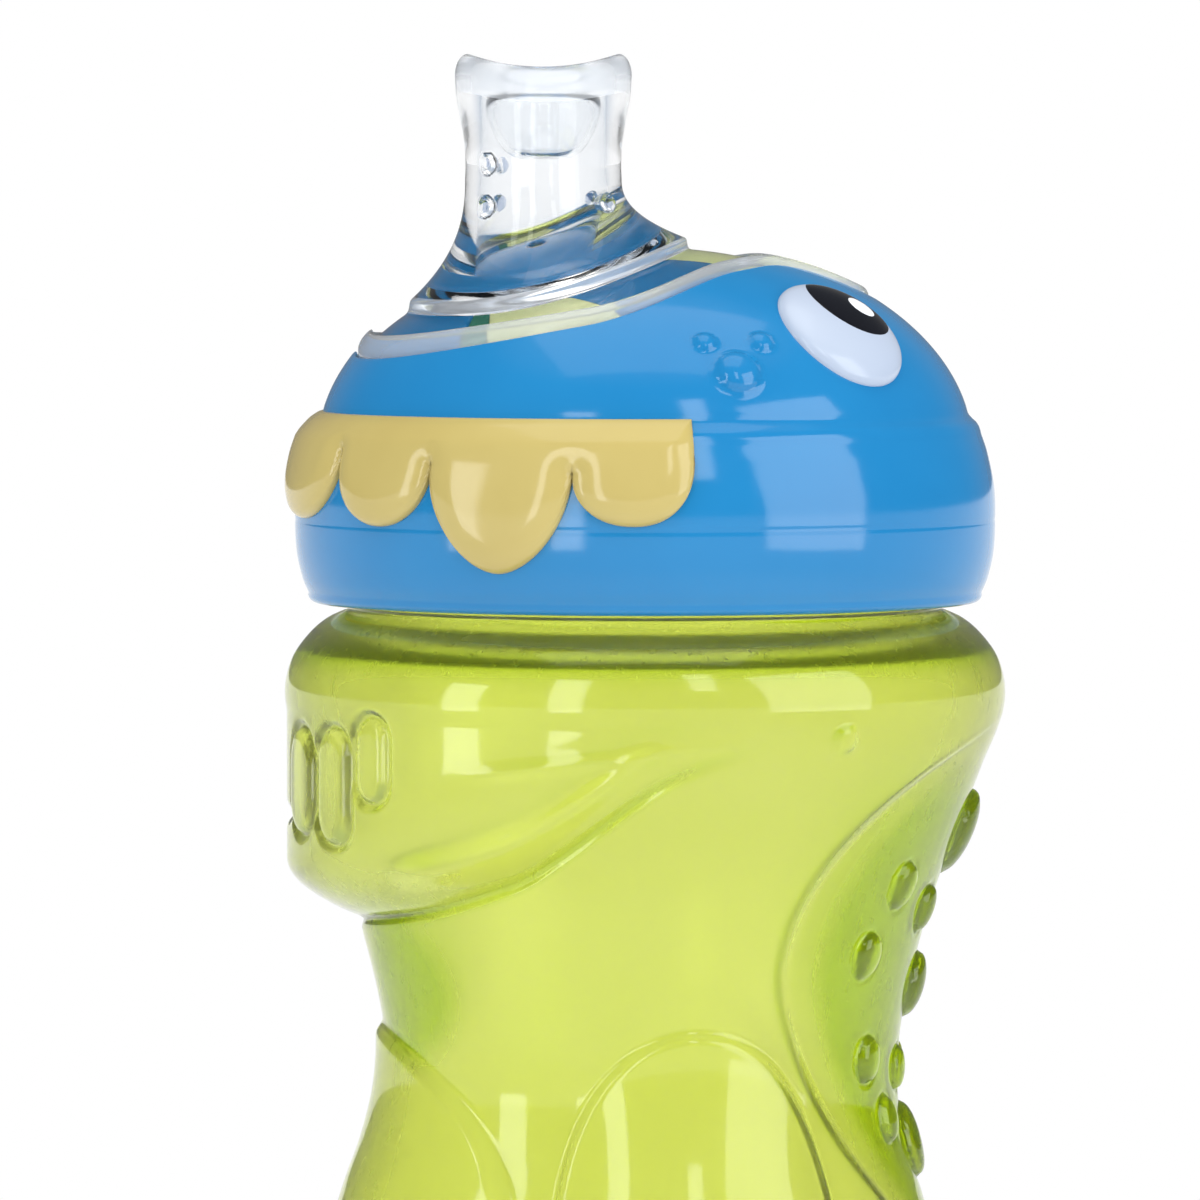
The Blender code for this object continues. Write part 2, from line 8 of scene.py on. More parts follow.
import bpy
import numpy as np
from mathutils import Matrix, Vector


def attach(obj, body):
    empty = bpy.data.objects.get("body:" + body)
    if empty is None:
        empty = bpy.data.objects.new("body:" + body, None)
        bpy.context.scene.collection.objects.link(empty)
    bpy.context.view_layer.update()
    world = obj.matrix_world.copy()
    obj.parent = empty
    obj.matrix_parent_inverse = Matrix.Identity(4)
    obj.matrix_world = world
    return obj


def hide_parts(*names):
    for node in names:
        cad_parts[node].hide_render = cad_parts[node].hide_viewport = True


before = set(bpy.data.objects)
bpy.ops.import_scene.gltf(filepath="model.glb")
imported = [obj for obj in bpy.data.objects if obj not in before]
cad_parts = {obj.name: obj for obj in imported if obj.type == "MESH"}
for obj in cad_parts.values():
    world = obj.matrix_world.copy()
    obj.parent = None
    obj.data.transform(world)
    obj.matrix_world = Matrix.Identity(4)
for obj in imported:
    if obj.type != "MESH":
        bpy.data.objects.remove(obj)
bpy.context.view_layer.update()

MM = 0.001

# ---------------------------------------------------------------- sizes shared with the CAD part
WALL = 1.6
FLOOR = 2.2
SHOULDER_TOP = 120.4
NECK_OUTER = 30.6
NECK_INNER = 28.6
RIM = 134.5
RIM_ROUNDING = 0.5
PITCH = 5.5
THREAD_DEPTH = 1.3
BOTTLE_THREAD_START = 126.2
LID_THREAD_DROP = 1.75
LID_THREAD_TURNS = 0.8
LID_THREAD_FIRST_TURN = 36.0
LID_BOTTOM = 121.0
LID_BORE = 32.4
SHELF_INNER = 29.6
SHELF_LOW = 136.7
SHELF_HIGH = 138.6
DOME_RADIUS = 34.2
DOME_HEIGHT = 22.1
DOME_CENTRE = 136.8
LID_WALL = 2.0
BAND_TOP = 140.9
OPENING_CENTRE_Y = -6.0
SPOUT_Y = -10.6
SPOUT_TOP = 178.0
CROWN_RECESS = 1.0                # how far the clear crown lies under the lid's edge
CROWN_SKIN = 2.3                  # underside of the clear crown, below the dome
EYE_TURN = 136.5
EYE_PLAN_RADIUS = 27.8
EYE_RADIUS = 7.3

TORSO = (
    (0.0, 29.5), (0.7, 31.2), (2.5, 32.9), (6.0, 33.9), (14.0, 34.5), (27.0, 34.6), (40.0, 33.9),
    (50.0, 32.0), (60.0, 29.3), (65.0, 27.8), (70.0, 27.0), (75.0, 27.1), (80.0, 27.9), (85.0, 29.1),
    (90.0, 30.5), (95.0, 32.3), (100.0, 34.2), (105.0, 36.1), (108.0, 37.0), (111.7, 37.6),
    (115.0, 36.9), (117.5, 35.2), (119.3, 33.1), (SHOULDER_TOP, NECK_OUTER),
)
ARM_EDGE = (
    (0.0, 88.0), (40.0, 90.0), (65.0, 93.5), (76.0, 97.0), (94.0, 104.5), (110.0, 108.0), (130.0, 111.0),
)
ARM_RADIUS = 37.4
ARM_ROUNDING = 6.3
THIGHS = (
    (0.0, 55.0, 65.0, 22.5, 32.0, 2.4),
    (101.0, 60.0, 30.0, 18.5, 34.0, 2.3),
    (-101.0, 60.0, 30.0, 18.5, 34.0, 2.3),
    (38.0, 11.0, 26.0, 11.0, 9.5, 1.9),
    (-38.0, 11.0, 26.0, 11.0, 9.5, 1.9),
)
PANEL_DEPTH = 0.55                # half of the CAD step, so that the edge reads soft
WARTS = (
    (0.0, 97.0, 3.8, 1.9), (0.0, 81.0, 3.0, 1.7), (0.0, 64.8, 3.4, 1.6),
    (14.0, 89.4, 2.1, 1.1), (9.0, 72.6, 2.0, 1.0),
    (30.6, 92.3, 2.1, 1.1), (37.4, 85.2, 2.1, 1.1), (30.3, 74.2, 2.1, 1.1), (20.6, 67.7, 2.1, 1.1),
)


SURROUND = (0.52, 0.59, 0.68)     # what mirrored and refracted rays meet beside the white wall
CEILING = 3.0                     # how much brighter than the grey the light above is
GLOSS_DROP = 0.80                 # how much dimmer the surroundings are in mirrored light
DIFFUSE_SHARE = 1.15              # how much more the surroundings light matt surfaces


# ---------------------------------------------------------------- curves and small helpers
def smooth_curve(points, at):
    """Smooth curve through (place, value) points, read at an array of places."""
    x = np.array([p[0] for p in points])
    y = np.array([p[1] for p in points])
    at = np.clip(np.asarray(at, dtype=float), x[0], x[-1])
    slope = np.gradient(y, x)
    slope[1:-1] = (y[2:] - y[:-2]) / (x[2:] - x[:-2])
    i = np.clip(np.searchsorted(x, at) - 1, 0, len(x) - 2)
    span = x[i + 1] - x[i]
    t = (at - x[i]) / span
    value = (2 * t ** 3 - 3 * t ** 2 + 1) * y[i] + (3 * t ** 2 - 2 * t ** 3) * y[i + 1]
    return value + span * ((t ** 3 - 2 * t ** 2 + t) * slope[i] + (t ** 3 - t ** 2) * slope[i + 1])


def smoothstep(low, high, value):
    """0 at low, 1 at high, smooth in between; low may be the larger."""
    t = np.clip((value - low) / (high - low), 0.0, 1.0)
    return t * t * (3 - 2 * t)


def turn_apart(a, b):
    """Smallest difference of two turns, in degrees."""
    return np.abs((a - b + 180.0) % 360.0 - 180.0)


def around(turn, radius, z):
    """Points at turns, radii and heights, as an array whose last axis is x, y, z."""
    turn, radius, z = np.broadcast_arrays(np.radians(turn), radius, z)
    return np.stack((radius * np.sin(turn), -radius * np.cos(turn), z), axis=-1)


def arc(first, last, count):
    """Cosine and sine of evenly spread angles, given in degrees."""
    return [(math.cos(math.radians(angle)), math.sin(math.radians(angle)))
            for angle in np.linspace(first, last, count)]


def to_mesh(name, grid, wrap_rows=False, wrap_columns=True, caps=False):
    """Closed object from a grid of points (rows, columns, xyz) in millimetres, facing outwards."""
    rows, columns = grid.shape[:2]
    index = np.arange(rows * columns).reshape(rows, columns)
    low = index if wrap_rows else index[:-1]
    high = np.roll(index, -1, axis=0) if wrap_rows else index[1:]
    if wrap_columns:
        low_next, high_next = np.roll(low, -1, axis=1), np.roll(high, -1, axis=1)
    else:
        low_next, high_next = low[:, 1:], high[:, 1:]
        low, high = low[:, :-1], high[:, :-1]
    quads = np.stack((low, low_next, high_next, high), axis=-1).reshape(-1, 4)
    faces = quads.tolist()
    if caps:
        faces += [index[0][::-1].tolist(), index[-1].tolist()]
    a, b, c = (grid.reshape(-1, 3)[quads[:, k]] for k in (0, 1, 2))
    d = grid.reshape(-1, 3)[quads[:, 3]]
    volume = np.sum(a * np.cross(b, c)) + np.sum(a * np.cross(c, d))
    if volume < 0.0:
        faces = [face[::-1] for face in faces]
    mesh = bpy.data.meshes.new(name)
    mesh.from_pydata((grid.reshape(-1, 3) * MM).tolist(), [], faces)
    mesh.update()
    made = bpy.data.objects.new(name, mesh)
    bpy.context.scene.collection.objects.link(made)
    mesh.shade_smooth()
    return made


# ---------------------------------------------------------------- materials
class Look:
    """A Principled material with its node tree at hand."""

    def __init__(self, name, colour, roughness, **values):
        self.material = bpy.data.materials.new(name)
        self.material.use_nodes = True
        self.tree = self.material.node_tree
        self.shader = self.tree.nodes["Principled BSDF"]
        self.shader.inputs["Base Color"].default_value = (*colour, 1.0)
        self.shader.inputs["Roughness"].default_value = roughness
        for key, value in values.items():
            self.shader.inputs[key.replace("_", " ")].default_value = value
        self.colour = colour
        self.roughness = roughness
        self.place = self.tree.nodes.new("ShaderNodeTexCoord").outputs["Object"]

    def noise(self, scale, detail=4.0, rough=0.55, stretch=None):
        node = self.tree.nodes.new("ShaderNodeTexNoise")
        node.inputs["Scale"].default_value = scale
        node.inputs["Detail"].default_value = detail
        node.inputs["Roughness"].default_value = rough
        source = self.place
        if stretch:
            mapping = self.tree.nodes.new("ShaderNodeMapping")
            mapping.inputs["Scale"].default_value = stretch
            self.tree.links.new(source, mapping.inputs["Vector"])
            source = mapping.outputs["Vector"]
        self.tree.links.new(source, node.inputs["Vector"])
        return node.outputs["Fac"]

    def ranged(self, source, from_low, from_high, to_low, to_high):
        node = self.tree.nodes.new("ShaderNodeMapRange")
        for key, value in (("From Min", from_low), ("From Max", from_high),
                           ("To Min", to_low), ("To Max", to_high)):
            node.inputs[key].default_value = value
        self.tree.links.new(source, node.inputs["Value"])
        return node.outputs["Result"]

    def vary_roughness(self, source, low, high):
        self.tree.links.new(self.ranged(source, 0.3, 0.7, low, high), self.shader.inputs["Roughness"])

    def vary_colour(self, source, other):
        """Runs from the base colour to another one as the source goes from 0.35 to 0.65."""
        mix = self.tree.nodes.new("ShaderNodeMix")
        mix.data_type = "RGBA"
        mix.inputs[6].default_value = (*self.colour, 1.0)
        mix.inputs[7].default_value = (*other, 1.0)
        self.tree.links.new(self.ranged(source, 0.35, 0.65, 0.0, 1.0), mix.inputs["Factor"])
        self.tree.links.new(mix.outputs[2], self.shader.inputs["Base Color"])

    def bump(self, source, depth, strength=1.0):
        node = self.tree.nodes.new("ShaderNodeBump")
        node.inputs["Distance"].default_value = depth
        node.inputs["Strength"].default_value = strength
        self.tree.links.new(source, node.inputs["Height"])
        previous = self.shader.inputs["Normal"].links
        if previous:
            self.tree.links.new(previous[0].from_socket, node.inputs["Normal"])
        self.tree.links.new(node.outputs["Normal"], self.shader.inputs["Normal"])


def plastic(name, colour, other, roughness, **values):
    """Moulded plastic: faint flow clouds in the colour, fine handling marks in the gloss."""
    look = Look(name, colour, roughness, **values)
    look.vary_colour(look.noise(55.0, 3.0), other)
    marks = look.noise(900.0, 5.0, 0.65, stretch=(1.0, 1.0, 0.25))
    look.vary_roughness(marks, roughness * 0.8, roughness * 1.25)
    look.bump(look.noise(160.0, 2.0), 0.00003, 0.5)
    look.bump(look.noise(2400.0, 2.0), 0.000004, 0.4)
    return look.material


GREEN = plastic("green_body_look", (0.82, 0.89, 0.18), (0.80, 0.88, 0.155), 0.07,
                Transmission_Weight=0.86, IOR=1.49, Specular_IOR_Level=0.85, Subsurface_Weight=1.0,
                Subsurface_Radius=(0.012, 0.012, 0.004), Subsurface_Scale=1.0)


def mix_painted_shade(material, deep):
    """Mixes painted shade in: a deeper colour, by the piece's own painted shade values (its depth
    attribute).
    """
    tree = material.node_tree
    shader = tree.nodes["Principled BSDF"]
    before = shader.inputs["Base Color"].links[0].from_socket
    depth = tree.nodes.new("ShaderNodeAttribute")
    depth.attribute_name = "depth"
    mix = tree.nodes.new("ShaderNodeMix")
    mix.data_type = "RGBA"
    tree.links.new(depth.outputs["Fac"], mix.inputs["Factor"])
    tree.links.new(before, mix.inputs[6])
    mix.inputs[7].default_value = (*deep, 1.0)
    tree.links.new(mix.outputs[2], shader.inputs["Base Color"])


# Painted shade: the deeper green mixed into the body where refraction and shade darken it.
mix_painted_shade(GREEN, (0.45, 0.64, 0.0))
# Painted light and shade on the seat ring: pale green for green light from the body seen through the
# crown, dark teal for shade.
PAINTED_GREEN_LIGHT = plastic("painted_green_light_look", (0.78, 0.80, 0.42), (0.72, 0.78, 0.34), 0.3, IOR=1.49)
PAINTED_TEAL_SHADE = plastic("painted_teal_shade_look", (0.03, 0.22, 0.13), (0.02, 0.16, 0.10), 0.3, IOR=1.49)
GREEN_INSIDE = plastic("green_inside_look", (0.97, 0.985, 0.76), (0.96, 0.98, 0.72), 0.24,
                       Transmission_Weight=1.0, IOR=1.49)
BLUE = plastic("blue_lid_look", (0.014, 0.205, 0.455), (0.012, 0.192, 0.435), 0.10, IOR=1.5,
               Subsurface_Weight=0.0)
CREAM = plastic("cream_teeth_look", (0.51, 0.405, 0.135), (0.48, 0.375, 0.12), 0.12, IOR=1.5)
WHITE = plastic("eye_white_look", (0.45, 0.51, 0.61), (0.43, 0.49, 0.60), 0.18, IOR=1.5)
BLACK = plastic("eye_black_look", (0.006, 0.006, 0.009), (0.008, 0.008, 0.011), 0.12, IOR=1.5,
                Specular_IOR_Level=0.25)
GLINT = plastic("eye_glint_look", (0.93, 0.94, 0.96), (0.90, 0.91, 0.94), 0.2, IOR=1.5)
CLEAR = plastic("clear_silicone_look", (0.975, 0.985, 0.995), (0.965, 0.978, 0.99), 0.035,
                Transmission_Weight=1.0, IOR=1.34)
FROSTED = plastic("frosted_silicone_look", (0.93, 0.95, 0.975), (0.91, 0.935, 0.965), 0.16,
                  Transmission_Weight=0.72, IOR=1.34)
# Painted shade: a dark blue-grey tint on the ribs in the bore, for the dark spots that they show.
RIB_PAINTED_SHADE = plastic("rib_painted_shade_look", (0.34, 0.42, 0.60), (0.30, 0.38, 0.56), 0.05,
                Transmission_Weight=1.0, IOR=1.34)
SEAT_BLUE = plastic("blue_seat_look", (0.004, 0.20, 0.46), (0.003, 0.18, 0.42), 0.2, IOR=1.5)
MILKY = plastic("seal_silicone_look", (0.86, 0.87, 0.86), (0.82, 0.83, 0.82), 0.4, IOR=1.41)


def finish_piece(piece, look, body, nodes=()):
    piece.data.materials.clear()
    piece.data.materials.append(look)
    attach(piece, body)
    if nodes:
        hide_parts(*nodes)


# ---------------------------------------------------------------- bottle
def ellipse_share(turn, z, thigh):
    centre, height, half_turn, up, down, _ = thigh
    across = turn_apart(turn, centre) / half_turn
    along = (z - height) / np.where(z > height, up, down)
    return np.maximum(0.0, 1.0 - across ** 2 - along ** 2)


def panel_half_width(z):
    widest, level, rise, drop = 61.0, 84.0, 25.3, 40.0
    upper = widest * np.sqrt(np.maximum(0.0, 1.0 - ((z - level) / rise) ** 2))
    lower = widest * (1.0 - (np.maximum(level - z, 0.0) / drop) ** 1.45)
    return np.where(z >= level, upper, lower)


def arm_share(turn, z):
    side = turn_apart(turn, 0.0)
    above = z - smooth_curve(ARM_EDGE, side)
    rounding = ARM_ROUNDING + 8.0 * smoothstep(14.0, 58.0, side)
    t = np.clip(above / rounding, 0.0, 1.0)
    return np.sin(np.pi / 2 * t) * (1.0 - smoothstep(112.0, 132.0, side))


def body_radius(turn, z):
    torso = smooth_curve(TORSO, z)
    radius = torso + np.maximum(0.0, ARM_RADIUS - torso) * arm_share(turn, z) * (z < 112.0)
    for thigh in THIGHS:
        share = ellipse_share(turn, z, thigh)
        radius = radius + thigh[5] * (0.36 * smoothstep(0.0, 0.15, share) + 0.64 * share ** 1.3)
    inside = panel_half_width(z) - turn_apart(turn, 180.0)
    step = smoothstep(-1.6, 2.4, inside) * (1.0 - smoothstep(104.0, 110.0, z))
    return radius - PANEL_DEPTH * step


def wart_share(turn, z):
    """1 on top of a wart, 0 beside it, with the wart's own relief as a second value."""
    back = turn_apart(turn, 180.0)
    share = np.zeros(np.broadcast(turn, z).shape)
    relief = np.zeros(share.shape)
    for wart_turn, height, radius, bulge in WARTS:
        across = np.radians(back - wart_turn) * smooth_curve(TORSO, z)
        away = np.hypot(across, (z - height) / 1.15) / radius
        cap = np.sqrt(np.maximum(0.0, 1.0 - away ** 2))
        share = np.maximum(share, np.minimum(1.0, 2.0 * cap))
        relief = relief + bulge * cap - 0.16 * np.exp(-((away - 1.08) / 0.12) ** 2)
    return share, relief


FINGERS = (
    # middle turn, half width in mm, height of the tip, height where it ends under the shoulder
    (17.5, 4.2, 97.2, 107.0), (30.5, 3.4, 96.6, 107.6), (41.0, 2.6, 101.2, 109.3),
)


def finger_relief(turn, z):
    """Three rounded fingers at each side of the front, each inside a fine groove."""
    side = turn_apart(turn, 0.0)
    relief = np.zeros(np.broadcast(turn, z).shape)
    for middle, half, tip, top in FINGERS:
        across = np.radians(side - middle) * ARM_RADIUS
        low, high = tip + half, top - 0.6 * half
        along = z - np.clip(z, low, high)
        edge = np.hypot(across, along) - half
        relief = relief - 0.62 * np.exp(-(edge / 0.42) ** 2) + 0.34 * smoothstep(0.6, -1.8, edge)
    return relief


def fine_relief(turn, z):
    """Fingers, creases, the small dot on the arm, and warts of the outer face."""
    side = turn_apart(turn, 0.0)
    relief = finger_relief(turn, z)
    below = z - smooth_curve(ARM_EDGE, side)
    relief = relief - 0.5 * np.exp(-((below + 0.2) / 0.55) ** 2) * (1.0 - smoothstep(85.0, 112.0, side))
    ledge = np.exp(-((below - 3.6) / 1.45) ** 2) * smoothstep(38.0, 50.0, side)
    relief = relief + 0.95 * ledge * (1.0 - smoothstep(82.0, 96.0, side))
    fold = z - 104.8 - 0.075 * (side - 62.0)
    relief = relief + 0.25 * np.exp(-(fold / 0.8) ** 2) * smoothstep(58.0, 70.0, side) * (
        1.0 - smoothstep(96.0, 108.0, side))
    relief = relief - 0.8 * np.exp(-((z - 99.0) / 0.8) ** 2) * (1.0 - smoothstep(6.0, 13.0, side))
    dot = np.hypot(np.radians(side - 123.0) * 37.0, z - 108.3) / 1.5
    relief = relief + 0.55 * np.sqrt(np.maximum(0.0, 1.0 - dot ** 2))
    return relief + wart_share(turn, z)[1]


def helix_ridge(turn_ccw, z, first, turns, start, depth):
    """Height of a thread ridge at angles counted from +X towards +Y, for a cylinder's wall."""
    ridge = np.zeros(np.broadcast(turn_ccw, z).shape)
    for lap in range(-1, 3):
        along = turn_ccw + 360.0 * lap - first
        centre = start + PITCH * along / 360.0
        last = 360.0 * turns
        ends = smoothstep(0.0, 14.0, along) * (1.0 - smoothstep(last - 14.0, last, along))
        flank = 1.0 - smoothstep(0.45, 1.2, np.abs(z - centre))
        ridge = np.maximum(ridge, depth * ends * flank)
    return ridge


def painted_shade_depth(turn, z):
    """Painted shade: where the green is painted deeper for refraction and shade - on the back panel, on
    a patch at the waist under the arms, in the crease under each arm, in a band at the neck under the
    lid, and on the warts.
    """
    side = turn_apart(turn, 0.0)
    inside = panel_half_width(z) - turn_apart(turn, 180.0)
    # Painted shade on the back panel, deepest away from its edge.
    panel = 0.16 * smoothstep(-0.6, 1.2, inside) + 0.74 * smoothstep(6.0, 13.0, inside)
    panel = panel * (1.0 - smoothstep(99.0, 108.0, z))
    # Painted shade on a patch at the waist under the arms.
    away = np.hypot((side - 27.0) / 22.0, (z - 81.5) / 9.0)
    patch = 0.95 * (1.0 - smoothstep(0.55, 1.1, away))
    # Painted shade along the crease under each arm.
    below = z - smooth_curve(ARM_EDGE, side)
    crease = 0.7 * np.exp(-((below + 0.2) / 0.9) ** 2) * (1.0 - smoothstep(85.0, 112.0, side))
    # Painted shade in a band at the neck, under the lid.
    neck = 0.8 * np.exp(-((z - 116.2) / 1.6) ** 2)
    # Painted shade on the warts, over a faint deeper tint everywhere.
    return np.clip(0.10 + panel + patch + crease + neck + wart_share(turn, z)[0], 0.0, 1.0)


BASE = (
    # radius and height across the underside, from its middle to the foot ring
    (0.05, 1.6), (8.0, 1.5), (16.0, 1.3), (21.0, 0.95), (23.0, 0.55), (24.5, 0.15), (25.5, 0.0),
    (27.5, 0.0), (29.0, 0.02),
)


def bottle_outside(turns):
    """Rows up the outer face, from the middle of the underside to the top of the neck."""
    rows = [around(turns, radius, z) for radius, z in BASE]
    heights = np.concatenate((np.linspace(0.1, 3.0, 12), np.arange(3.6, 58.0, 0.6),
                              np.arange(58.0, SHOULDER_TOP, 0.3)))
    for z in heights:
        shaped = body_radius(turns, z) + fine_relief(turns, z)
        share = smoothstep(0.0, 4.0, z)
        rows.append(around(turns, shaped * share + smooth_curve(TORSO, z) * (1.0 - share), z))
    thread_turns = (turns - 90.0) % 360.0
    for z in np.arange(SHOULDER_TOP + 0.2, RIM - RIM_ROUNDING, 0.22):
        ridge = helix_ridge(thread_turns, z, 0.0, 1.0, BOTTLE_THREAD_START, THREAD_DEPTH)
        fillet = 0.9 * (1.0 - smoothstep(SHOULDER_TOP, SHOULDER_TOP + 1.2, z)) ** 2
        rows.append(around(turns, NECK_OUTER + fillet + ridge, z))
    return rows


def bottle_rim(turns):
    """Rows over the rounded rim, from the neck's outer face to its inner one."""
    level = RIM - RIM_ROUNDING
    rows = [around(turns, NECK_OUTER - RIM_ROUNDING + RIM_ROUNDING * c, level + RIM_ROUNDING * s)
            for c, s in arc(0.0, 90.0, 6)]
    return rows + [around(turns, NECK_INNER + RIM_ROUNDING + RIM_ROUNDING * c, level + RIM_ROUNDING * s)
                   for c, s in arc(90.0, 180.0, 6)]


def bottle_inside(turns):
    """Rows down the inner face, from the neck to the middle of the floor."""
    corner_top, corner_radius = 6.5, 5.0
    rows = [around(turns, NECK_INNER, z) for z in np.linspace(RIM - 1.0, SHOULDER_TOP + 1.0, 12)]
    heights = np.concatenate((np.arange(SHOULDER_TOP - 0.2, 84.0, -0.35), np.arange(83.8, 6.0, -0.8),
                              np.linspace(5.4, FLOOR + 0.6, 8)))
    for z in heights:
        neck = smoothstep(115.2, 119.2, z)
        wall = body_radius(turns, z) - WALL
        inner = wall * (1.0 - neck) + np.minimum(wall, NECK_INNER + 0.6) * neck
        corner = 1.0
        if z < corner_top:
            corner = math.sqrt(max(0.0, 1.0 - ((corner_top - z) / corner_radius) ** 2))
        rows.append(around(turns, inner - corner_radius * (1.0 - corner), z))
    return rows + [around(turns, radius, FLOOR + 0.4 + 1.2 * (1.0 - radius / 28.0))
                   for radius in (24.0, 16.0, 8.0, 0.05)]


def make_bottle():
    """The hollow body in one mesh: clear green outside, a slightly duller wall inside."""
    columns = 480
    turns = np.arange(columns) * 360.0 / columns
    outside = bottle_outside(turns) + bottle_rim(turns)
    rows = outside + bottle_inside(turns)
    bottle = to_mesh("bottle_body_fine", np.array(rows), caps=True)
    finish_piece(bottle, GREEN, "bottle", ["bottle_body"])
    bottle.data.materials.append(GREEN_INSIDE)
    inside = np.zeros(len(bottle.data.polygons), dtype=np.int32)
    inside[(len(outside) - 1) * columns:(len(rows) - 1) * columns] = 1
    inside[-1] = 1
    bottle.data.polygons.foreach_set("material_index", inside)
    points = np.array(rows).reshape(-1, 3)
    point_turn = np.degrees(np.arctan2(points[:, 0], -points[:, 1]))
    # Painted shade: each point's share of the deeper green, stored as the depth attribute.
    depth = bottle.data.attributes.new("depth", "FLOAT", "POINT")
    depth.data.foreach_set("value", painted_shade_depth(point_turn, points[:, 2]).astype(np.float32))


# ---------------------------------------------------------------- lid
def dome_z(radius, inset):
    share = np.maximum(0.0, 1.0 - (radius / (DOME_RADIUS - inset)) ** 2)
    return DOME_CENTRE + (DOME_HEIGHT - inset) * np.sqrt(share)


def skirt_radius(z):
    skirt = ((LID_BOTTOM, 34.7), (122.0, 35.1), (123.4, 35.7), (126.0, 36.3), (129.0, 36.5),
             (133.0, 36.4), (136.5, 35.7), (138.6, 35.0))
    return smooth_curve(skirt, z)


def dome_normal(points):
    """Outward unit normals of the dome at points on it."""
    scale = np.array((DOME_RADIUS, DOME_RADIUS, DOME_HEIGHT)) ** 2
    normal = (points - np.array((0.0, 0.0, DOME_CENTRE))) / scale
    return normal / np.linalg.norm(normal, axis=-1, keepdims=True)


def on_dome(x, y, inset=0.0, height=0.0):
    """Points over plan places, on the dome drawn in by an inset and then raised."""
    return np.stack((x, y, dome_z(np.hypot(x, y), inset) + height), axis=-1)


def dome_rows(start, end, shares, inset=0.0, height=0.0):
    """Rows on the dome, from one plan outline to another."""
    return [on_dome(start[0] + (end[0] - start[0]) * share, start[1] + (end[1] - start[1]) * share,
                    inset, height) for share in shares]


def opening_plan(turns, grow):
    """Plan outline of the lid's opening: round at the front with a tail over the crown."""
    side = turn_apart(turns, 0.0)
    reach = 24.0 + 2.1 * np.sin(np.radians(side)) - 4.2 * smoothstep(90.0, 135.0, side)
    reach = reach + 9.7 * np.exp(-((180.0 - side) / 15.0) ** 2) + grow
    plan = around(turns, reach, 0.0)
    return plan[..., 0], plan[..., 1] + OPENING_CENTRE_Y


CHEEK_BUMPS = ((107.2, 31.4, 2.35, 1.15), (101.8, 29.0, 1.2, 0.65), (113.8, 29.0, 1.3, 0.7))


def bump_height(x, y, z):
    """Round bumps on both cheeks, with a small hollow round each foot."""
    height = np.zeros(np.shape(x))
    for turn, plan, radius, bulge in CHEEK_BUMPS:
        for side in (1.0, -1.0):
            centre = around(side * turn, plan, dome_z(plan, 0.0))
            away = np.sqrt((x - centre[0]) ** 2 + (y - centre[1]) ** 2 + (z - centre[2]) ** 2) / radius
            cap = np.sqrt(np.maximum(0.0, 1.0 - away ** 2))
            skirt = 0.10 * np.exp(-((away - 1.0) / 0.16) ** 2)
            height = height + bulge * cap + radius * skirt * (away >= 1.0)
    return height


DOME_FOOT = 33.45
OPENING_EDGE = ((-1.0, 0.0), (-0.5, 0.02), (-0.22, 0.12), (-0.07, 0.28), (0.0, 0.5))
RIDGE = ((33.62, 140.75), (33.78, 140.45), (34.1, 140.1), (34.5, 139.75), (34.8, 139.3))
SHELF = (
    (LID_BORE, SHELF_LOW), (31.0, SHELF_LOW), (SHELF_INNER + 0.2, SHELF_LOW),
    (SHELF_INNER, SHELF_LOW + 0.2), (SHELF_INNER, SHELF_HIGH - 0.2),
    (SHELF_INNER + 0.2, SHELF_HIGH), (31.4, SHELF_HIGH + 0.1), (31.8, SHELF_HIGH + 0.6),
)


def lid_dome(turns):
    """Rows from the opening's rounded edge down over the dome, with the cheek bumps."""
    rows = [on_dome(*opening_plan(turns, grow), height=height) for height, grow in OPENING_EDGE]
    start = opening_plan(turns, OPENING_EDGE[-1][1])
    for flat in dome_rows(start, ray_to_circle(turns, DOME_FOOT), np.linspace(0.0, 1.0, 130)[1:]):
        bump = bump_height(flat[..., 0], flat[..., 1], flat[..., 2])
        rows.append(flat + bump[..., None] * dome_normal(flat))
    return rows


def lid_skirt(turns):
    """Rows over the ridge, down the skirt with its fine line, and round its foot."""
    foot = 0.85
    rows = [around(turns, radius, z) for radius, z in RIDGE]
    for z in np.linspace(138.7, 122.0, 60):
        line = 0.05 * np.exp(-((z - 129.6) / 0.22) ** 2)
        rows.append(around(turns, skirt_radius(z) - line, z))
    rows += [around(turns, 34.3 + foot * c, LID_BOTTOM + foot - foot * s) for c, s in arc(10.0, 90.0, 7)]
    rows.append(around(turns, 33.4, LID_BOTTOM))
    rows.append(around(turns, LID_BORE + 0.5, LID_BOTTOM + 0.05))
    return rows


def lid_bore(turns):
    """Rows up the bore with its thread, and round the shelf that presses on the seal."""
    thread_turns = (turns - 90.0) % 360.0
    start = BOTTLE_THREAD_START - LID_THREAD_DROP + PITCH * LID_THREAD_FIRST_TURN / 360.0
    rows = []
    for z in np.arange(LID_BOTTOM + 0.6, SHELF_LOW, 0.25):
        ridge = helix_ridge(thread_turns, z, LID_THREAD_FIRST_TURN, LID_THREAD_TURNS, start,
                            THREAD_DEPTH)
        rows.append(around(turns, LID_BORE - ridge, z))
    return rows + [around(turns, radius, z) for radius, z in SHELF]


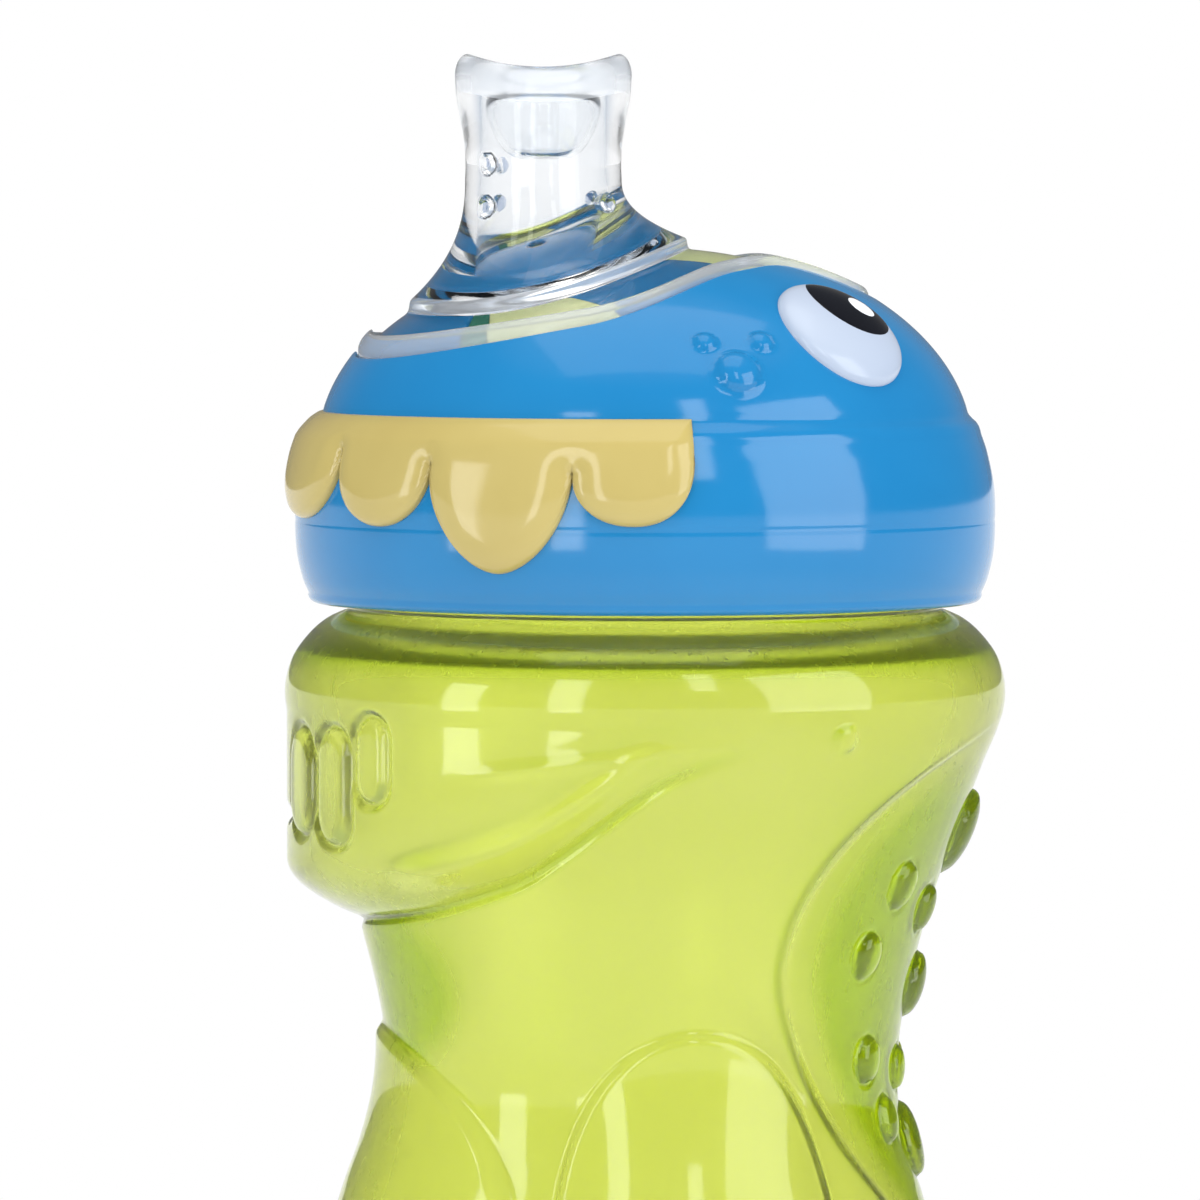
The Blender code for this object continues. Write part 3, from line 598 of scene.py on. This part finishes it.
def make_lid():
    """The blue lid: one closed wall from the opening over the dome and back up the inside."""
    columns = 540
    turns = np.arange(columns) * 360.0 / columns
    foot_x, foot_y = ray_to_circle(turns, DOME_FOOT)
    rim_turns = np.degrees(np.arctan2(foot_x, -foot_y))
    rows = lid_dome(turns) + lid_skirt(rim_turns) + lid_bore(rim_turns)
    rows += dome_rows(ray_to_circle(turns, 31.6), opening_plan(turns, 0.0),
                      np.linspace(0.0, 1.0, 40), LID_WALL)
    lid = to_mesh("lid_shell_fine", np.array(rows), wrap_rows=True)
    finish_piece(lid, BLUE, "lid", ["lid_shell"])


def ray_to_circle(turns, radius):
    """Where rays from the opening's centre meet a circle round the lid's axis."""
    direction = around(turns, 1.0, 0.0)
    half = direction[..., 1] * OPENING_CENTRE_Y
    reach = -half + np.sqrt(half ** 2 + radius ** 2 - OPENING_CENTRE_Y ** 2)
    return direction[..., 0] * reach, direction[..., 1] * reach + OPENING_CENTRE_Y


def lid_radius(z):
    ridge_low, ridge_high = 138.6, 140.6
    height = (np.maximum(z, ridge_high) - DOME_CENTRE) / DOME_HEIGHT
    dome = DOME_RADIUS * np.sqrt(np.maximum(0.0, 1.0 - height ** 2))
    share = np.clip((z - ridge_low) / (ridge_high - ridge_low), 0.0, 1.0)
    return skirt_radius(np.minimum(z, ridge_low)) * (1.0 - share) + dome * share


TEETH = (
    # first turn, last turn, height of the notch at each, height of the tip, roundness
    (0.0, 30.7, 137.6, 137.2, 130.0, 2.1), (30.7, 53.0, 137.2, 136.2, 129.7, 2.1),
    (53.0, 78.1, 136.2, 135.4, 125.2, 1.8), (78.1, 97.7, 135.4, 136.8, 130.1, 2.2),
)
TEETH_RADIUS = 36.0


def tooth_line(per_tooth):
    """Turns along the whole band and the height of its scalloped lower edge."""
    turns, lows = [], []
    for number, (first, last, notch_a, notch_b, tip, roundness) in enumerate(TEETH):
        final = number == len(TEETH) - 1
        angles = np.linspace(0.0, np.pi, per_tooth + 1)[:None if final else -1]
        across = -np.cos(angles)
        share = (across + 1.0) / 2.0
        depth = np.maximum(0.0, 1.0 - np.abs(across) ** roundness) ** (1.0 / roundness)
        notch = notch_a + (notch_b - notch_a) * share
        turns.append(first + (last - first) * share)
        lows.append(notch + (tip - notch) * depth)
    turns, lows = np.concatenate(turns), np.concatenate(lows)
    return np.concatenate((-turns[:0:-1], turns)), np.concatenate((lows[:0:-1], lows))


def edge_distance(turns, lows, turn_grid, z):
    """How far each place on the band is from the band's outline, in mm."""
    along_band = np.radians(turns) * TEETH_RADIUS
    outline = np.concatenate((
        np.stack((along_band, lows), axis=-1),
        np.stack((along_band, np.full_like(along_band, BAND_TOP)), axis=-1),
        np.stack((np.full(20, along_band[-1]), np.linspace(lows[-1], BAND_TOP, 20)), axis=-1),
        np.stack((np.full(20, along_band[0]), np.linspace(lows[0], BAND_TOP, 20)), axis=-1)))
    across = (np.radians(turn_grid) * TEETH_RADIUS)[..., None] - outline[:, 0]
    up = z[..., None] - outline[:, 1]
    return np.sqrt(across ** 2 + up ** 2).min(axis=-1)


def make_teeth():
    """The cream band: eight rounded teeth, each swelling like a small pillow."""
    rows = 34
    turns, lows = tooth_line(48)
    share = (1.0 - np.cos(np.linspace(0.0, np.pi, rows))) / 2.0
    z = lows[None, :] + (BAND_TOP - lows)[None, :] * share[:, None]
    turn_grid = np.broadcast_to(turns, z.shape)
    away = edge_distance(turns, lows, turn_grid, z)
    rounding, swell = 0.9, 3.2
    lift = 0.62 * np.sqrt(np.maximum(0.0, 1.0 - (1.0 - np.minimum(away / rounding, 1.0)) ** 2))
    lift = lift + 0.75 * (1.0 - (1.0 - np.minimum(away / swell, 1.0)) ** 2)
    seat = lid_radius(z)
    outside = around(turn_grid, seat + 0.12 + lift, z)
    inside = around(turn_grid, seat - 0.25, z)
    grid = np.concatenate((outside, inside[::-1]), axis=0)
    band = to_mesh("teeth_band_fine", np.swapaxes(grid, 0, 1), wrap_columns=True, caps=True)
    finish_piece(band, CREAM, "lid", ["teeth_band"])


# ---------------------------------------------------------------- eyes
class EyeSeat:
    """Local frame of an eye on the dome: back along the lid, up the dome, and outwards."""

    def __init__(self, side):
        self.side = side
        centre = around(side * EYE_TURN, EYE_PLAN_RADIUS, dome_z(EYE_PLAN_RADIUS, 0.0))
        self.centre = centre
        self.normal = dome_normal(centre)
        flat = np.array((centre[0], centre[1], 0.0))
        back = np.cross((0.0, 0.0, side), flat)
        self.back = back / np.linalg.norm(back)
        self.up = np.cross(self.normal, self.back) * side

    def points(self, a, b, height):
        """Points at a along the back direction and b up the dome, lifted off the dome."""
        flat = self.centre + a[..., None] * self.back + b[..., None] * self.up
        for _ in range(3):
            drop = np.stack((flat[..., 0], flat[..., 1],
                             dome_z(np.hypot(flat[..., 0], flat[..., 1]), 0.0)), axis=-1)
            normal = dome_normal(drop)
            off = np.sum((flat - drop) * normal, axis=-1, keepdims=True)
            flat = flat - off * self.normal
        return flat + height[..., None] * normal


def lens_height(distance):
    """The white insert's face above the dome, at a distance from its middle."""
    share = np.clip(distance / EYE_RADIUS, 0.0, 1.0)
    return -0.3 + 0.72 * np.maximum(0.0, 1.0 - share ** 12) ** 0.5 + 1.25 * np.sqrt(1.0 - share ** 2)


def eye_patch(name, seat, centre, radius, lift, look, slot, nodes):
    """Thin rounded patch on the eye, cut off where it would pass the white's own edge."""
    columns, rings = 120, 22
    angle = np.arange(columns) * 2 * np.pi / columns
    dir_a, dir_b = np.cos(angle), np.sin(angle)
    limit = EYE_RADIUS - 0.32
    along = dir_a * centre[0] + dir_b * centre[1]
    off_centre = centre[0] ** 2 + centre[1] ** 2
    room = -along + np.sqrt(np.maximum(0.0, along ** 2 + limit ** 2 - off_centre))
    reach = np.minimum(radius, room)
    shares = np.sin(np.linspace(0.02, np.pi / 2, rings))
    a = centre[0] + shares[:, None] * (reach * dir_a)[None, :]
    b = centre[1] + shares[:, None] * (reach * dir_b)[None, :]
    rounded = lift * np.sqrt(np.maximum(0.0, 1.0 - shares[:, None] ** 14)) * np.ones_like(a)
    height = lens_height(np.hypot(a, b)) + rounded - 0.02
    top = seat.points(a, b, height)
    under = seat.points(a, b, height - rounded - 0.12)
    grid = np.concatenate((top, under[::-1]), axis=0)
    patch = to_mesh(name, grid, caps=True)
    finish_piece(patch, look, "lid", nodes)


PUPIL = ((2.2, 2.5), 4.7, 0.07)     # middle, radius and thickness on the white
GLINT_SPOT = ((3.4, 1.9), 1.55, 0.12)


def make_eye(name, side):
    """A domed white with its pupil and a small highlight, on one side of the lid."""
    seat = EyeSeat(side)
    columns, rings = 160, 40
    angle = np.arange(columns) * 2 * np.pi / columns
    shares = np.sin(np.linspace(0.01, np.pi / 2, rings))
    a = EYE_RADIUS * shares[:, None] * np.cos(angle)[None, :]
    b = EYE_RADIUS * shares[:, None] * np.sin(angle)[None, :]
    top = seat.points(a, b, lens_height(np.hypot(a, b)))
    under = seat.points(a, b, np.full_like(a, -0.5))
    white = to_mesh("eye_%s_fine" % name, np.concatenate((top, under[::-1]), axis=0), caps=True)
    finish_piece(white, WHITE, "lid", ["eye_" + name])
    eye_patch("pupil_%s_fine" % name, seat, *PUPIL, BLACK, "eye_black", ["pupil_" + name])
    eye_patch("glint_%s" % name, seat, *GLINT_SPOT, GLINT, "eye_white", [])


# ---------------------------------------------------------------- spout and valve
def ellipse(turns, centre_y, half_x, half_y):
    t = np.radians(turns)
    return half_x * np.sin(t), centre_y - half_y * np.cos(t)


LIP_DIP = 1.4                     # how far the lip dips between its two high ends
LIP_INNER, LIP_OUTER = (10.6, 6.6), (13.6, 9.2)
LIP_HEIGHT = 2.2
BORE_TOP = (10.4, 6.5)
BORE_BEND = 166.0
BORE = ((0.0, 11.5, 7.5), (0.35, 11.0, 7.1), (0.7, 10.5, 6.7), (1.0, *BORE_TOP))
RIBS = ((38.0, 166.6), (38.0, 162.0), (150.0, 162.0))
MOUTHPIECE = (
    # height and half axes down the outside
    (165.0, 12.35, 8.15), (166.5, 12.3, 8.1), (168.5, 12.5, 8.2), (171.0, 12.95, 8.6),
    (173.5, 13.45, 9.05), (175.6, 13.6, 9.2),
)
FOOT_Y = -10.1
FOOT_HALF = (19.4, 14.0)
FOOT_RISE = 0.25
FOOT_ROUNDING = 0.45
CROWN_START = ((-0.45, 0.5), (-CROWN_RECESS + 0.25, 0.56), (-CROWN_RECESS + 0.07, 0.7),
               (-CROWN_RECESS, 0.95))
BEAD = (
    # growth of the opening's outline and height over the dome
    (-1.78, -CROWN_RECESS + 0.12), (-1.68, -CROWN_RECESS + 0.4), (-1.62, -0.3), (-1.6, 0.1),
    (-1.5, 0.32), (-1.3, 0.46), (-0.95, 0.5), (-0.6, 0.46), (-0.38, 0.32), (-0.25, 0.1),
    (-0.2, -0.35), (-0.2, -1.0),
)


def spout_ring(turns, half_x, half_y, z):
    x, y = ellipse(turns, SPOUT_Y, half_x, half_y)
    return np.stack((x, y, np.broadcast_to(z, x.shape)), axis=-1)


def foot_outline(turns, grow):
    return ellipse(turns, FOOT_Y, FOOT_HALF[0] + grow, FOOT_HALF[1] + grow)


def rib_share(x, y, z):
    """How much of the bore's half axes is left where small ribs stand on its wall."""
    left = np.ones_like(x)
    for turn, height in RIBS:
        for side in (turn, -turn):
            rib_x, rib_y = ellipse(side, SPOUT_Y, 10.6, 6.7)
            away = np.sqrt((x - rib_x) ** 2 + (y - rib_y) ** 2 + ((z - height) * 1.3) ** 2) / 1.5
            left = left - 0.13 * np.sqrt(np.maximum(0.0, 1.0 - away ** 2))
    return left


def spout_bore(turns):
    """Rows up the bore, from its foot under the crown to below the lip."""
    shares, halves_x, halves_y = zip(*BORE)
    rows = []
    for share in np.linspace(0.0, 1.0, 60):
        x, y = ellipse(turns, SPOUT_Y, np.interp(share, shares, halves_x),
                       np.interp(share, shares, halves_y))
        z = dome_z(np.hypot(x, y), CROWN_SKIN) * (1.0 - share) + BORE_BEND * share
        left = rib_share(x, y, z)
        rows.append(np.stack((x * left, SPOUT_Y + (y - SPOUT_Y) * left, z), axis=-1))
    for z in np.linspace(BORE_BEND + 0.25, 173.0, 28):
        left = rib_share(*ellipse(turns, SPOUT_Y, *BORE_TOP), z)
        rows.append(spout_ring(turns, BORE_TOP[0] * left, BORE_TOP[1] * left, z))
    return rows


def spout_lip(turns, sway):
    """Rows over the thick rounded lip."""
    middle = [(a + b) / 2 for a, b in zip(LIP_INNER, LIP_OUTER)]
    half = [b - m for b, m in zip(LIP_OUTER, middle)]
    rows = [spout_ring(turns, *LIP_INNER, SPOUT_TOP - 3.6 + sway * 0.6)]
    for c, s in arc(180.0, 0.0, 25):
        rows.append(spout_ring(turns, middle[0] + half[0] * c, middle[1] + half[1] * c,
                               SPOUT_TOP - LIP_HEIGHT + LIP_HEIGHT * s + sway))
    return rows


def spout_outside(turns, sway):
    """Rows down the mouthpiece to its waist, then out over the cone."""
    wide = [(height, half_x) for height, half_x, _ in MOUTHPIECE]
    deep = [(height, half_y) for height, _, half_y in MOUTHPIECE]
    rows = []
    for z in np.linspace(175.2, 165.2, 22):
        fade = np.clip((z - 168.0) / 7.0, 0.0, 1.0)
        rows.append(spout_ring(turns, smooth_curve(wide, z), smooth_curve(deep, z), z + sway * fade))
    neck_z, *neck_half = MOUTHPIECE[0]
    neck_x, neck_y = ellipse(turns, SPOUT_Y, *neck_half)
    base_x, base_y = foot_outline(turns, 0.0)
    base_z = dome_z(np.hypot(base_x, base_y), 0.0) + FOOT_RISE
    for share in np.linspace(0.0, 1.0, 36):
        spread = share ** 2.4
        x = neck_x + (base_x - neck_x) * spread
        y = neck_y + (base_y - neck_y) * spread
        rows.append(np.stack((x, y, neck_z + (base_z - neck_z) * share), axis=-1))
    return rows


def spout_foot(turns):
    """Rows round the cone's foot, down to where the crown starts."""
    rows = [on_dome(*foot_outline(turns, FOOT_ROUNDING * s),
                    height=FOOT_RISE - FOOT_ROUNDING * (1.0 - c)) for c, s in arc(20.0, 90.0, 6)]
    return rows + [on_dome(*foot_outline(turns, grow), height=height) for height, grow in CROWN_START]


def spout_under(turns):
    """Rows round the flange under the lid, then along the underside back to the bore."""
    wider = 0.1 + 0.9 * np.sin(np.radians(turns / 2)) ** 2
    flange = ((-0.2, LID_WALL + 0.1), (1.3 * wider, LID_WALL + 0.3), (1.4 * wider, 2.6),
              (1.3 * wider, 2.9), (-1.6, 2.9), (-2.0, 2.6), (-2.2, CROWN_SKIN))
    rows = [on_dome(*opening_plan(turns, grow), inset) for grow, inset in flange]
    bore_foot = ellipse(turns, SPOUT_Y, 11.6, 7.6)
    return rows + dome_rows(opening_plan(turns, -2.2), bore_foot, np.linspace(0.0, 1.0, 22)[1:],
                            CROWN_SKIN)


def make_spout():
    """Clear mouthpiece, cone, crown and flange in one; lip, foot edge and bead are frosted; the ribs in
    the bore carry a painted shade tint.
    """
    columns = 320
    turns = np.arange(columns) * 360.0 / columns
    sway = LIP_DIP * (np.cos(np.radians(2 * turns)) - 1.0) / 2.0
    crown = dome_rows(foot_outline(turns, CROWN_START[-1][1]), opening_plan(turns, -1.9),
                      np.linspace(0.0, 1.0, 24)[1:], height=-CROWN_RECESS)
    bead = [on_dome(*opening_plan(turns, grow), height=height) for grow, height in BEAD]
    stretches = (spout_bore(turns), spout_lip(turns, sway), spout_outside(turns, sway),
                 spout_foot(turns), crown, bead, spout_under(turns))
    bore_end, lip_end, cone_end, foot_end, crown_end, bead_end, _ = np.cumsum(
        [len(rows) for rows in stretches])
    rows = [row for stretch in stretches for row in stretch]
    spout = to_mesh("spout_fine", np.array(rows), wrap_rows=True)
    finish_piece(spout, CLEAR, "lid", ["spout"])
    spout.data.materials.append(FROSTED)
    spout.data.materials.append(RIB_PAINTED_SHADE)
    index = np.zeros((len(rows), columns), dtype=np.int32)
    for first, last in ((bore_end + 1, lip_end + 2), (cone_end - 1, foot_end - 2),
                        (crown_end - 1, bead_end)):
        index[first:last] = 1
    # Painted shade: the ribs take the dark blue-grey tint.
    for row in range(bore_end):
        index[row][rib_share(*rows[row].T) < 0.97] = 2
    spout.data.polygons.foreach_set("material_index", index.ravel())


SEAT_TOP = CROWN_SKIN - 0.3       # the seat's top reaches 0.3 mm into the silicone over it
SEAT_THICK = 1.0
# Arcs of the ring under the crown: the windows are painted green light, the edge strips painted shade.
SEAT_ARCS = (
    ("front", -57.0, 57.0, SEAT_BLUE), ("right_edge", 57.3, 64.7, PAINTED_TEAL_SHADE),
    ("right_window", 65.0, 99.0, PAINTED_GREEN_LIGHT), ("right", 99.3, 149.7, SEAT_BLUE),
    ("tail_window", 150.0, 210.0, PAINTED_GREEN_LIGHT), ("left", 210.3, 260.7, SEAT_BLUE),
    ("left_window", 261.0, 295.0, PAINTED_GREEN_LIGHT), ("left_edge", 295.3, 302.7, PAINTED_TEAL_SHADE),
)


def seat_part(name, inner, outer, look, full=False):
    """Plate under the dome between two plan outlines, closed round the axis or with two ends."""
    shares = np.linspace(0.0, 1.0, 16)
    grid = np.array(dome_rows(inner, outer, shares, SEAT_TOP)
                    + dome_rows(outer, inner, shares, SEAT_TOP + SEAT_THICK))
    made = to_mesh(name, grid if full else np.swapaxes(grid, 0, 1), wrap_rows=full, caps=not full)
    finish_piece(made, look, "lid")


def make_seat():
    """Seat that the silicone is moulded onto: a plate under the foot and a ring under the crown, whose
    arcs carry painted green light and painted shade.
    """
    turns = np.arange(200) * 1.8
    seat_part("seat_plate", ellipse(turns, SPOUT_Y, 2.6, 1.1), ellipse(turns, -10.2, 14.6, 10.4),
              SEAT_BLUE, full=True)
    for name, first, last, look in SEAT_ARCS:
        turns = np.linspace(first, last, 60)
        seat_part("seat_" + name, foot_outline(turns, -0.7), opening_plan(turns, -2.6), look)


def make_valve():
    """Soft cup in the mouthpiece with a thin domed floor."""
    columns = 160
    turns = np.arange(columns) * 360.0 / columns
    half_x, half_y, top, bottom = 9.95, 6.05, 173.6, 167.4
    profile = ((0.02, bottom + 0.85), (0.30, bottom + 0.87), (0.45, bottom + 1.0), (0.58, bottom + 1.7),
               (0.70, bottom + 3.0), (0.80, bottom + 4.4), (0.86, top - 0.4), (0.89, top + 0.1),
               (0.93, top + 0.25), (0.98, top + 0.15), (1.0, top - 0.2), (0.99, bottom + 5.0),
               (0.92, bottom + 3.6), (0.81, bottom + 2.2), (0.68, bottom + 0.9), (0.52, bottom + 0.15),
               (0.40, bottom), (0.02, bottom))
    rows = [spout_ring(turns, half_x * share, half_y * share, z) for share, z in profile]
    valve = to_mesh("spout_valve_fine", np.array(rows), caps=True)
    finish_piece(valve, CLEAR, "lid", ["spout_valve"])


def make_seal():
    """Sealing ring with a rounded section."""
    turns = np.arange(200) * 360.0 / 200
    low, high, inner, outer = RIM + 0.3, SHELF_LOW - 0.3, 28.9, 31.0
    mid_r, mid_z = (inner + outer) / 2, (low + high) / 2
    rows = []
    for c, s in arc(0.0, 345.0, 24):
        r = mid_r + (outer - mid_r) * math.copysign(abs(c) ** 0.45, c)
        z = mid_z + (high - mid_z) * math.copysign(abs(s) ** 0.45, s)
        rows.append(around(turns, r, z))
    ring = to_mesh("seal_ring_fine", np.array(rows), wrap_rows=True)
    finish_piece(ring, MILKY, "seal", ["seal_ring"])


# ---------------------------------------------------------------- stage, light and camera
def graph(tree, kind, values=(), links=()):
    """Adds a node, sets its inputs and feeds sockets into others; gives back the node."""
    node = tree.nodes.new(kind)
    for key, value in values:
        node.inputs[key].default_value = value
    for socket, key in links:
        tree.links.new(socket, node.inputs[key])
    return node


def soft_range(tree, source, low, high, to_low, to_high):
    node = graph(tree, "ShaderNodeMapRange", (("From Min", low), ("From Max", high), ("To Min", to_low),
                                              ("To Max", to_high)), ((source, "Value"),))
    node.interpolation_type = "SMOOTHSTEP"
    return node.outputs["Result"]


def make_floor():
    """White floor: matt near the cup so that it takes a soft shadow, pure white farther out."""
    bpy.ops.mesh.primitive_plane_add(size=60.0, location=(0.0, 0.0, 0.0))
    floor = bpy.context.object
    floor.name = "floor"
    look = Look("floor_look", (0.93, 0.93, 0.93), 0.6)
    tree = look.tree
    away = graph(tree, "ShaderNodeVectorMath", (), ((look.place, 0),))
    away.operation = "LENGTH"
    far = soft_range(tree, away.outputs["Value"], 0.12, 0.42, 0.0, 1.0)
    glow = graph(tree, "ShaderNodeEmission", (("Color", (1.0, 1.0, 1.0, 1.0)), ("Strength", 1.0)))
    mix = graph(tree, "ShaderNodeMixShader", (), ((far, 0), (look.shader.outputs[0], 1),
                                                  (glow.outputs[0], 2)))
    tree.links.new(mix.outputs[0], tree.nodes["Material Output"].inputs["Surface"])
    floor.data.materials.append(look.material)


def make_world():
    """White surroundings for the eye; mirrored and refracted rays find grey beside the white wall."""
    world = bpy.data.worlds.new("studio")
    bpy.context.scene.world = world
    world.use_nodes = True
    tree = world.node_tree
    place = graph(tree, "ShaderNodeTexCoord").outputs["Generated"]
    split = graph(tree, "ShaderNodeSeparateXYZ", (), ((place, "Vector"),))
    behind = soft_range(tree, split.outputs["X"], -0.92, -0.60, 1.0, 0.0)
    level = soft_range(tree, split.outputs["Z"], 0.30, 0.62, 1.0, 0.0)
    wall = graph(tree, "ShaderNodeMath", (), ((behind, 0), (level, 1)))
    wall.operation = "MULTIPLY"
    ceiling = soft_range(tree, split.outputs["Z"], 0.80, 0.93, 0.0, CEILING)
    bright = graph(tree, "ShaderNodeMath", (), ((wall.outputs[0], 0), (ceiling, 1)))
    bright.operation = "ADD"
    seen = graph(tree, "ShaderNodeMix", (), ((bright.outputs[0], "Factor"),))
    seen.clamp_factor = False
    seen.data_type = "RGBA"
    seen.inputs[6].default_value = (*SURROUND, 1.0)
    seen.inputs[7].default_value = (1.0, 1.0, 1.0, 1.0)
    path = graph(tree, "ShaderNodeLightPath")
    direct = graph(tree, "ShaderNodeMix")
    direct.data_type = "RGBA"
    tree.links.new(path.outputs["Is Camera Ray"], direct.inputs["Factor"])
    tree.links.new(seen.outputs[2], direct.inputs[6])
    direct.inputs[7].default_value = (1.0, 1.0, 1.0, 1.0)
    tree.links.new(direct.outputs[2], tree.nodes["Background"].inputs["Color"])
    mirrored = graph(tree, "ShaderNodeMath", (), (
        (path.outputs["Is Glossy Ray"], 0), (path.outputs["Is Transmission Ray"], 1)))
    mirrored.operation = "SUBTRACT"
    mirrored.use_clamp = True
    matt = graph(tree, "ShaderNodeMath", ((1, DIFFUSE_SHARE - 1.0), (2, 1.0)),
                 ((path.outputs["Is Diffuse Ray"], 0),))
    matt.operation = "MULTIPLY_ADD"
    strength = graph(tree, "ShaderNodeMath", ((1, -GLOSS_DROP),),
                     ((mirrored.outputs[0], 0), (matt.outputs[0], 2)))
    strength.operation = "MULTIPLY_ADD"
    tree.links.new(strength.outputs[0], tree.nodes["Background"].inputs["Strength"])


def softbox(name, azimuth, elevation, width, height, radiance, distance=0.9):
    """Area light aimed at the cup; azimuth 0 is +X, growing towards +Y."""
    light = bpy.data.lights.new(name, "AREA")
    light.shape = "RECTANGLE"
    light.size = width
    light.size_y = height
    light.energy = radiance * width * height * math.pi
    holder = bpy.data.objects.new(name, light)
    bpy.context.scene.collection.objects.link(holder)
    target = Vector((0.0, 0.0, 0.11))
    a, e = math.radians(azimuth), math.radians(elevation)
    offset = Vector((math.cos(e) * math.cos(a), math.cos(e) * math.sin(a), math.sin(e))) * distance
    holder.location = target + offset
    holder.rotation_euler = (-offset).to_track_quat("-Z", "Y").to_euler()
    holder.visible_camera = False


def make_lights():
    softbox("key_right", 57.0, 12.0, 0.60, 0.95, 2.8)
    softbox("strip_left_far", -60.0, 9.0, 0.21, 0.52, 4.0)
    softbox("strip_left_near", -25.0, 14.0, 0.17, 0.72, 3.9)
    softbox("strip_right_high", 19.0, 34.0, 0.12, 0.36, 3.4)
    softbox("top", 0.0, 88.0, 0.9, 0.9, 0.8, 1.1)


def make_camera():
    """Long lens, a little above the level of the cup's shoulder, which shows its upper two thirds."""
    lens, sensor = 300.0, 36.0
    view_width = 125.2468 * MM
    distance = view_width * lens / sensor
    aim = Vector((0.0, -0.0047, 0.1211))
    elevation = math.radians(2.6)
    camera = bpy.data.cameras.new("camera")
    camera.lens = lens
    camera.sensor_width = sensor
    camera.clip_end = 50.0
    camera.dof.use_dof = False
    holder = bpy.data.objects.new("camera", camera)
    bpy.context.scene.collection.objects.link(holder)
    offset = Vector((math.cos(elevation), 0.0, math.sin(elevation))) * distance
    holder.location = aim + offset
    holder.rotation_euler = (-offset).to_track_quat("-Z", "Y").to_euler()
    bpy.context.scene.camera = holder


def main():
    make_camera()
    make_bottle()
    make_lid()
    make_teeth()
    for name, side in (("right", 1.0), ("left", -1.0)):
        make_eye(name, side)
    make_spout()
    make_seat()
    make_valve()
    make_seal()
    make_floor()
    make_world()
    make_lights()
    bpy.context.scene.view_settings.view_transform = "Standard"


main()
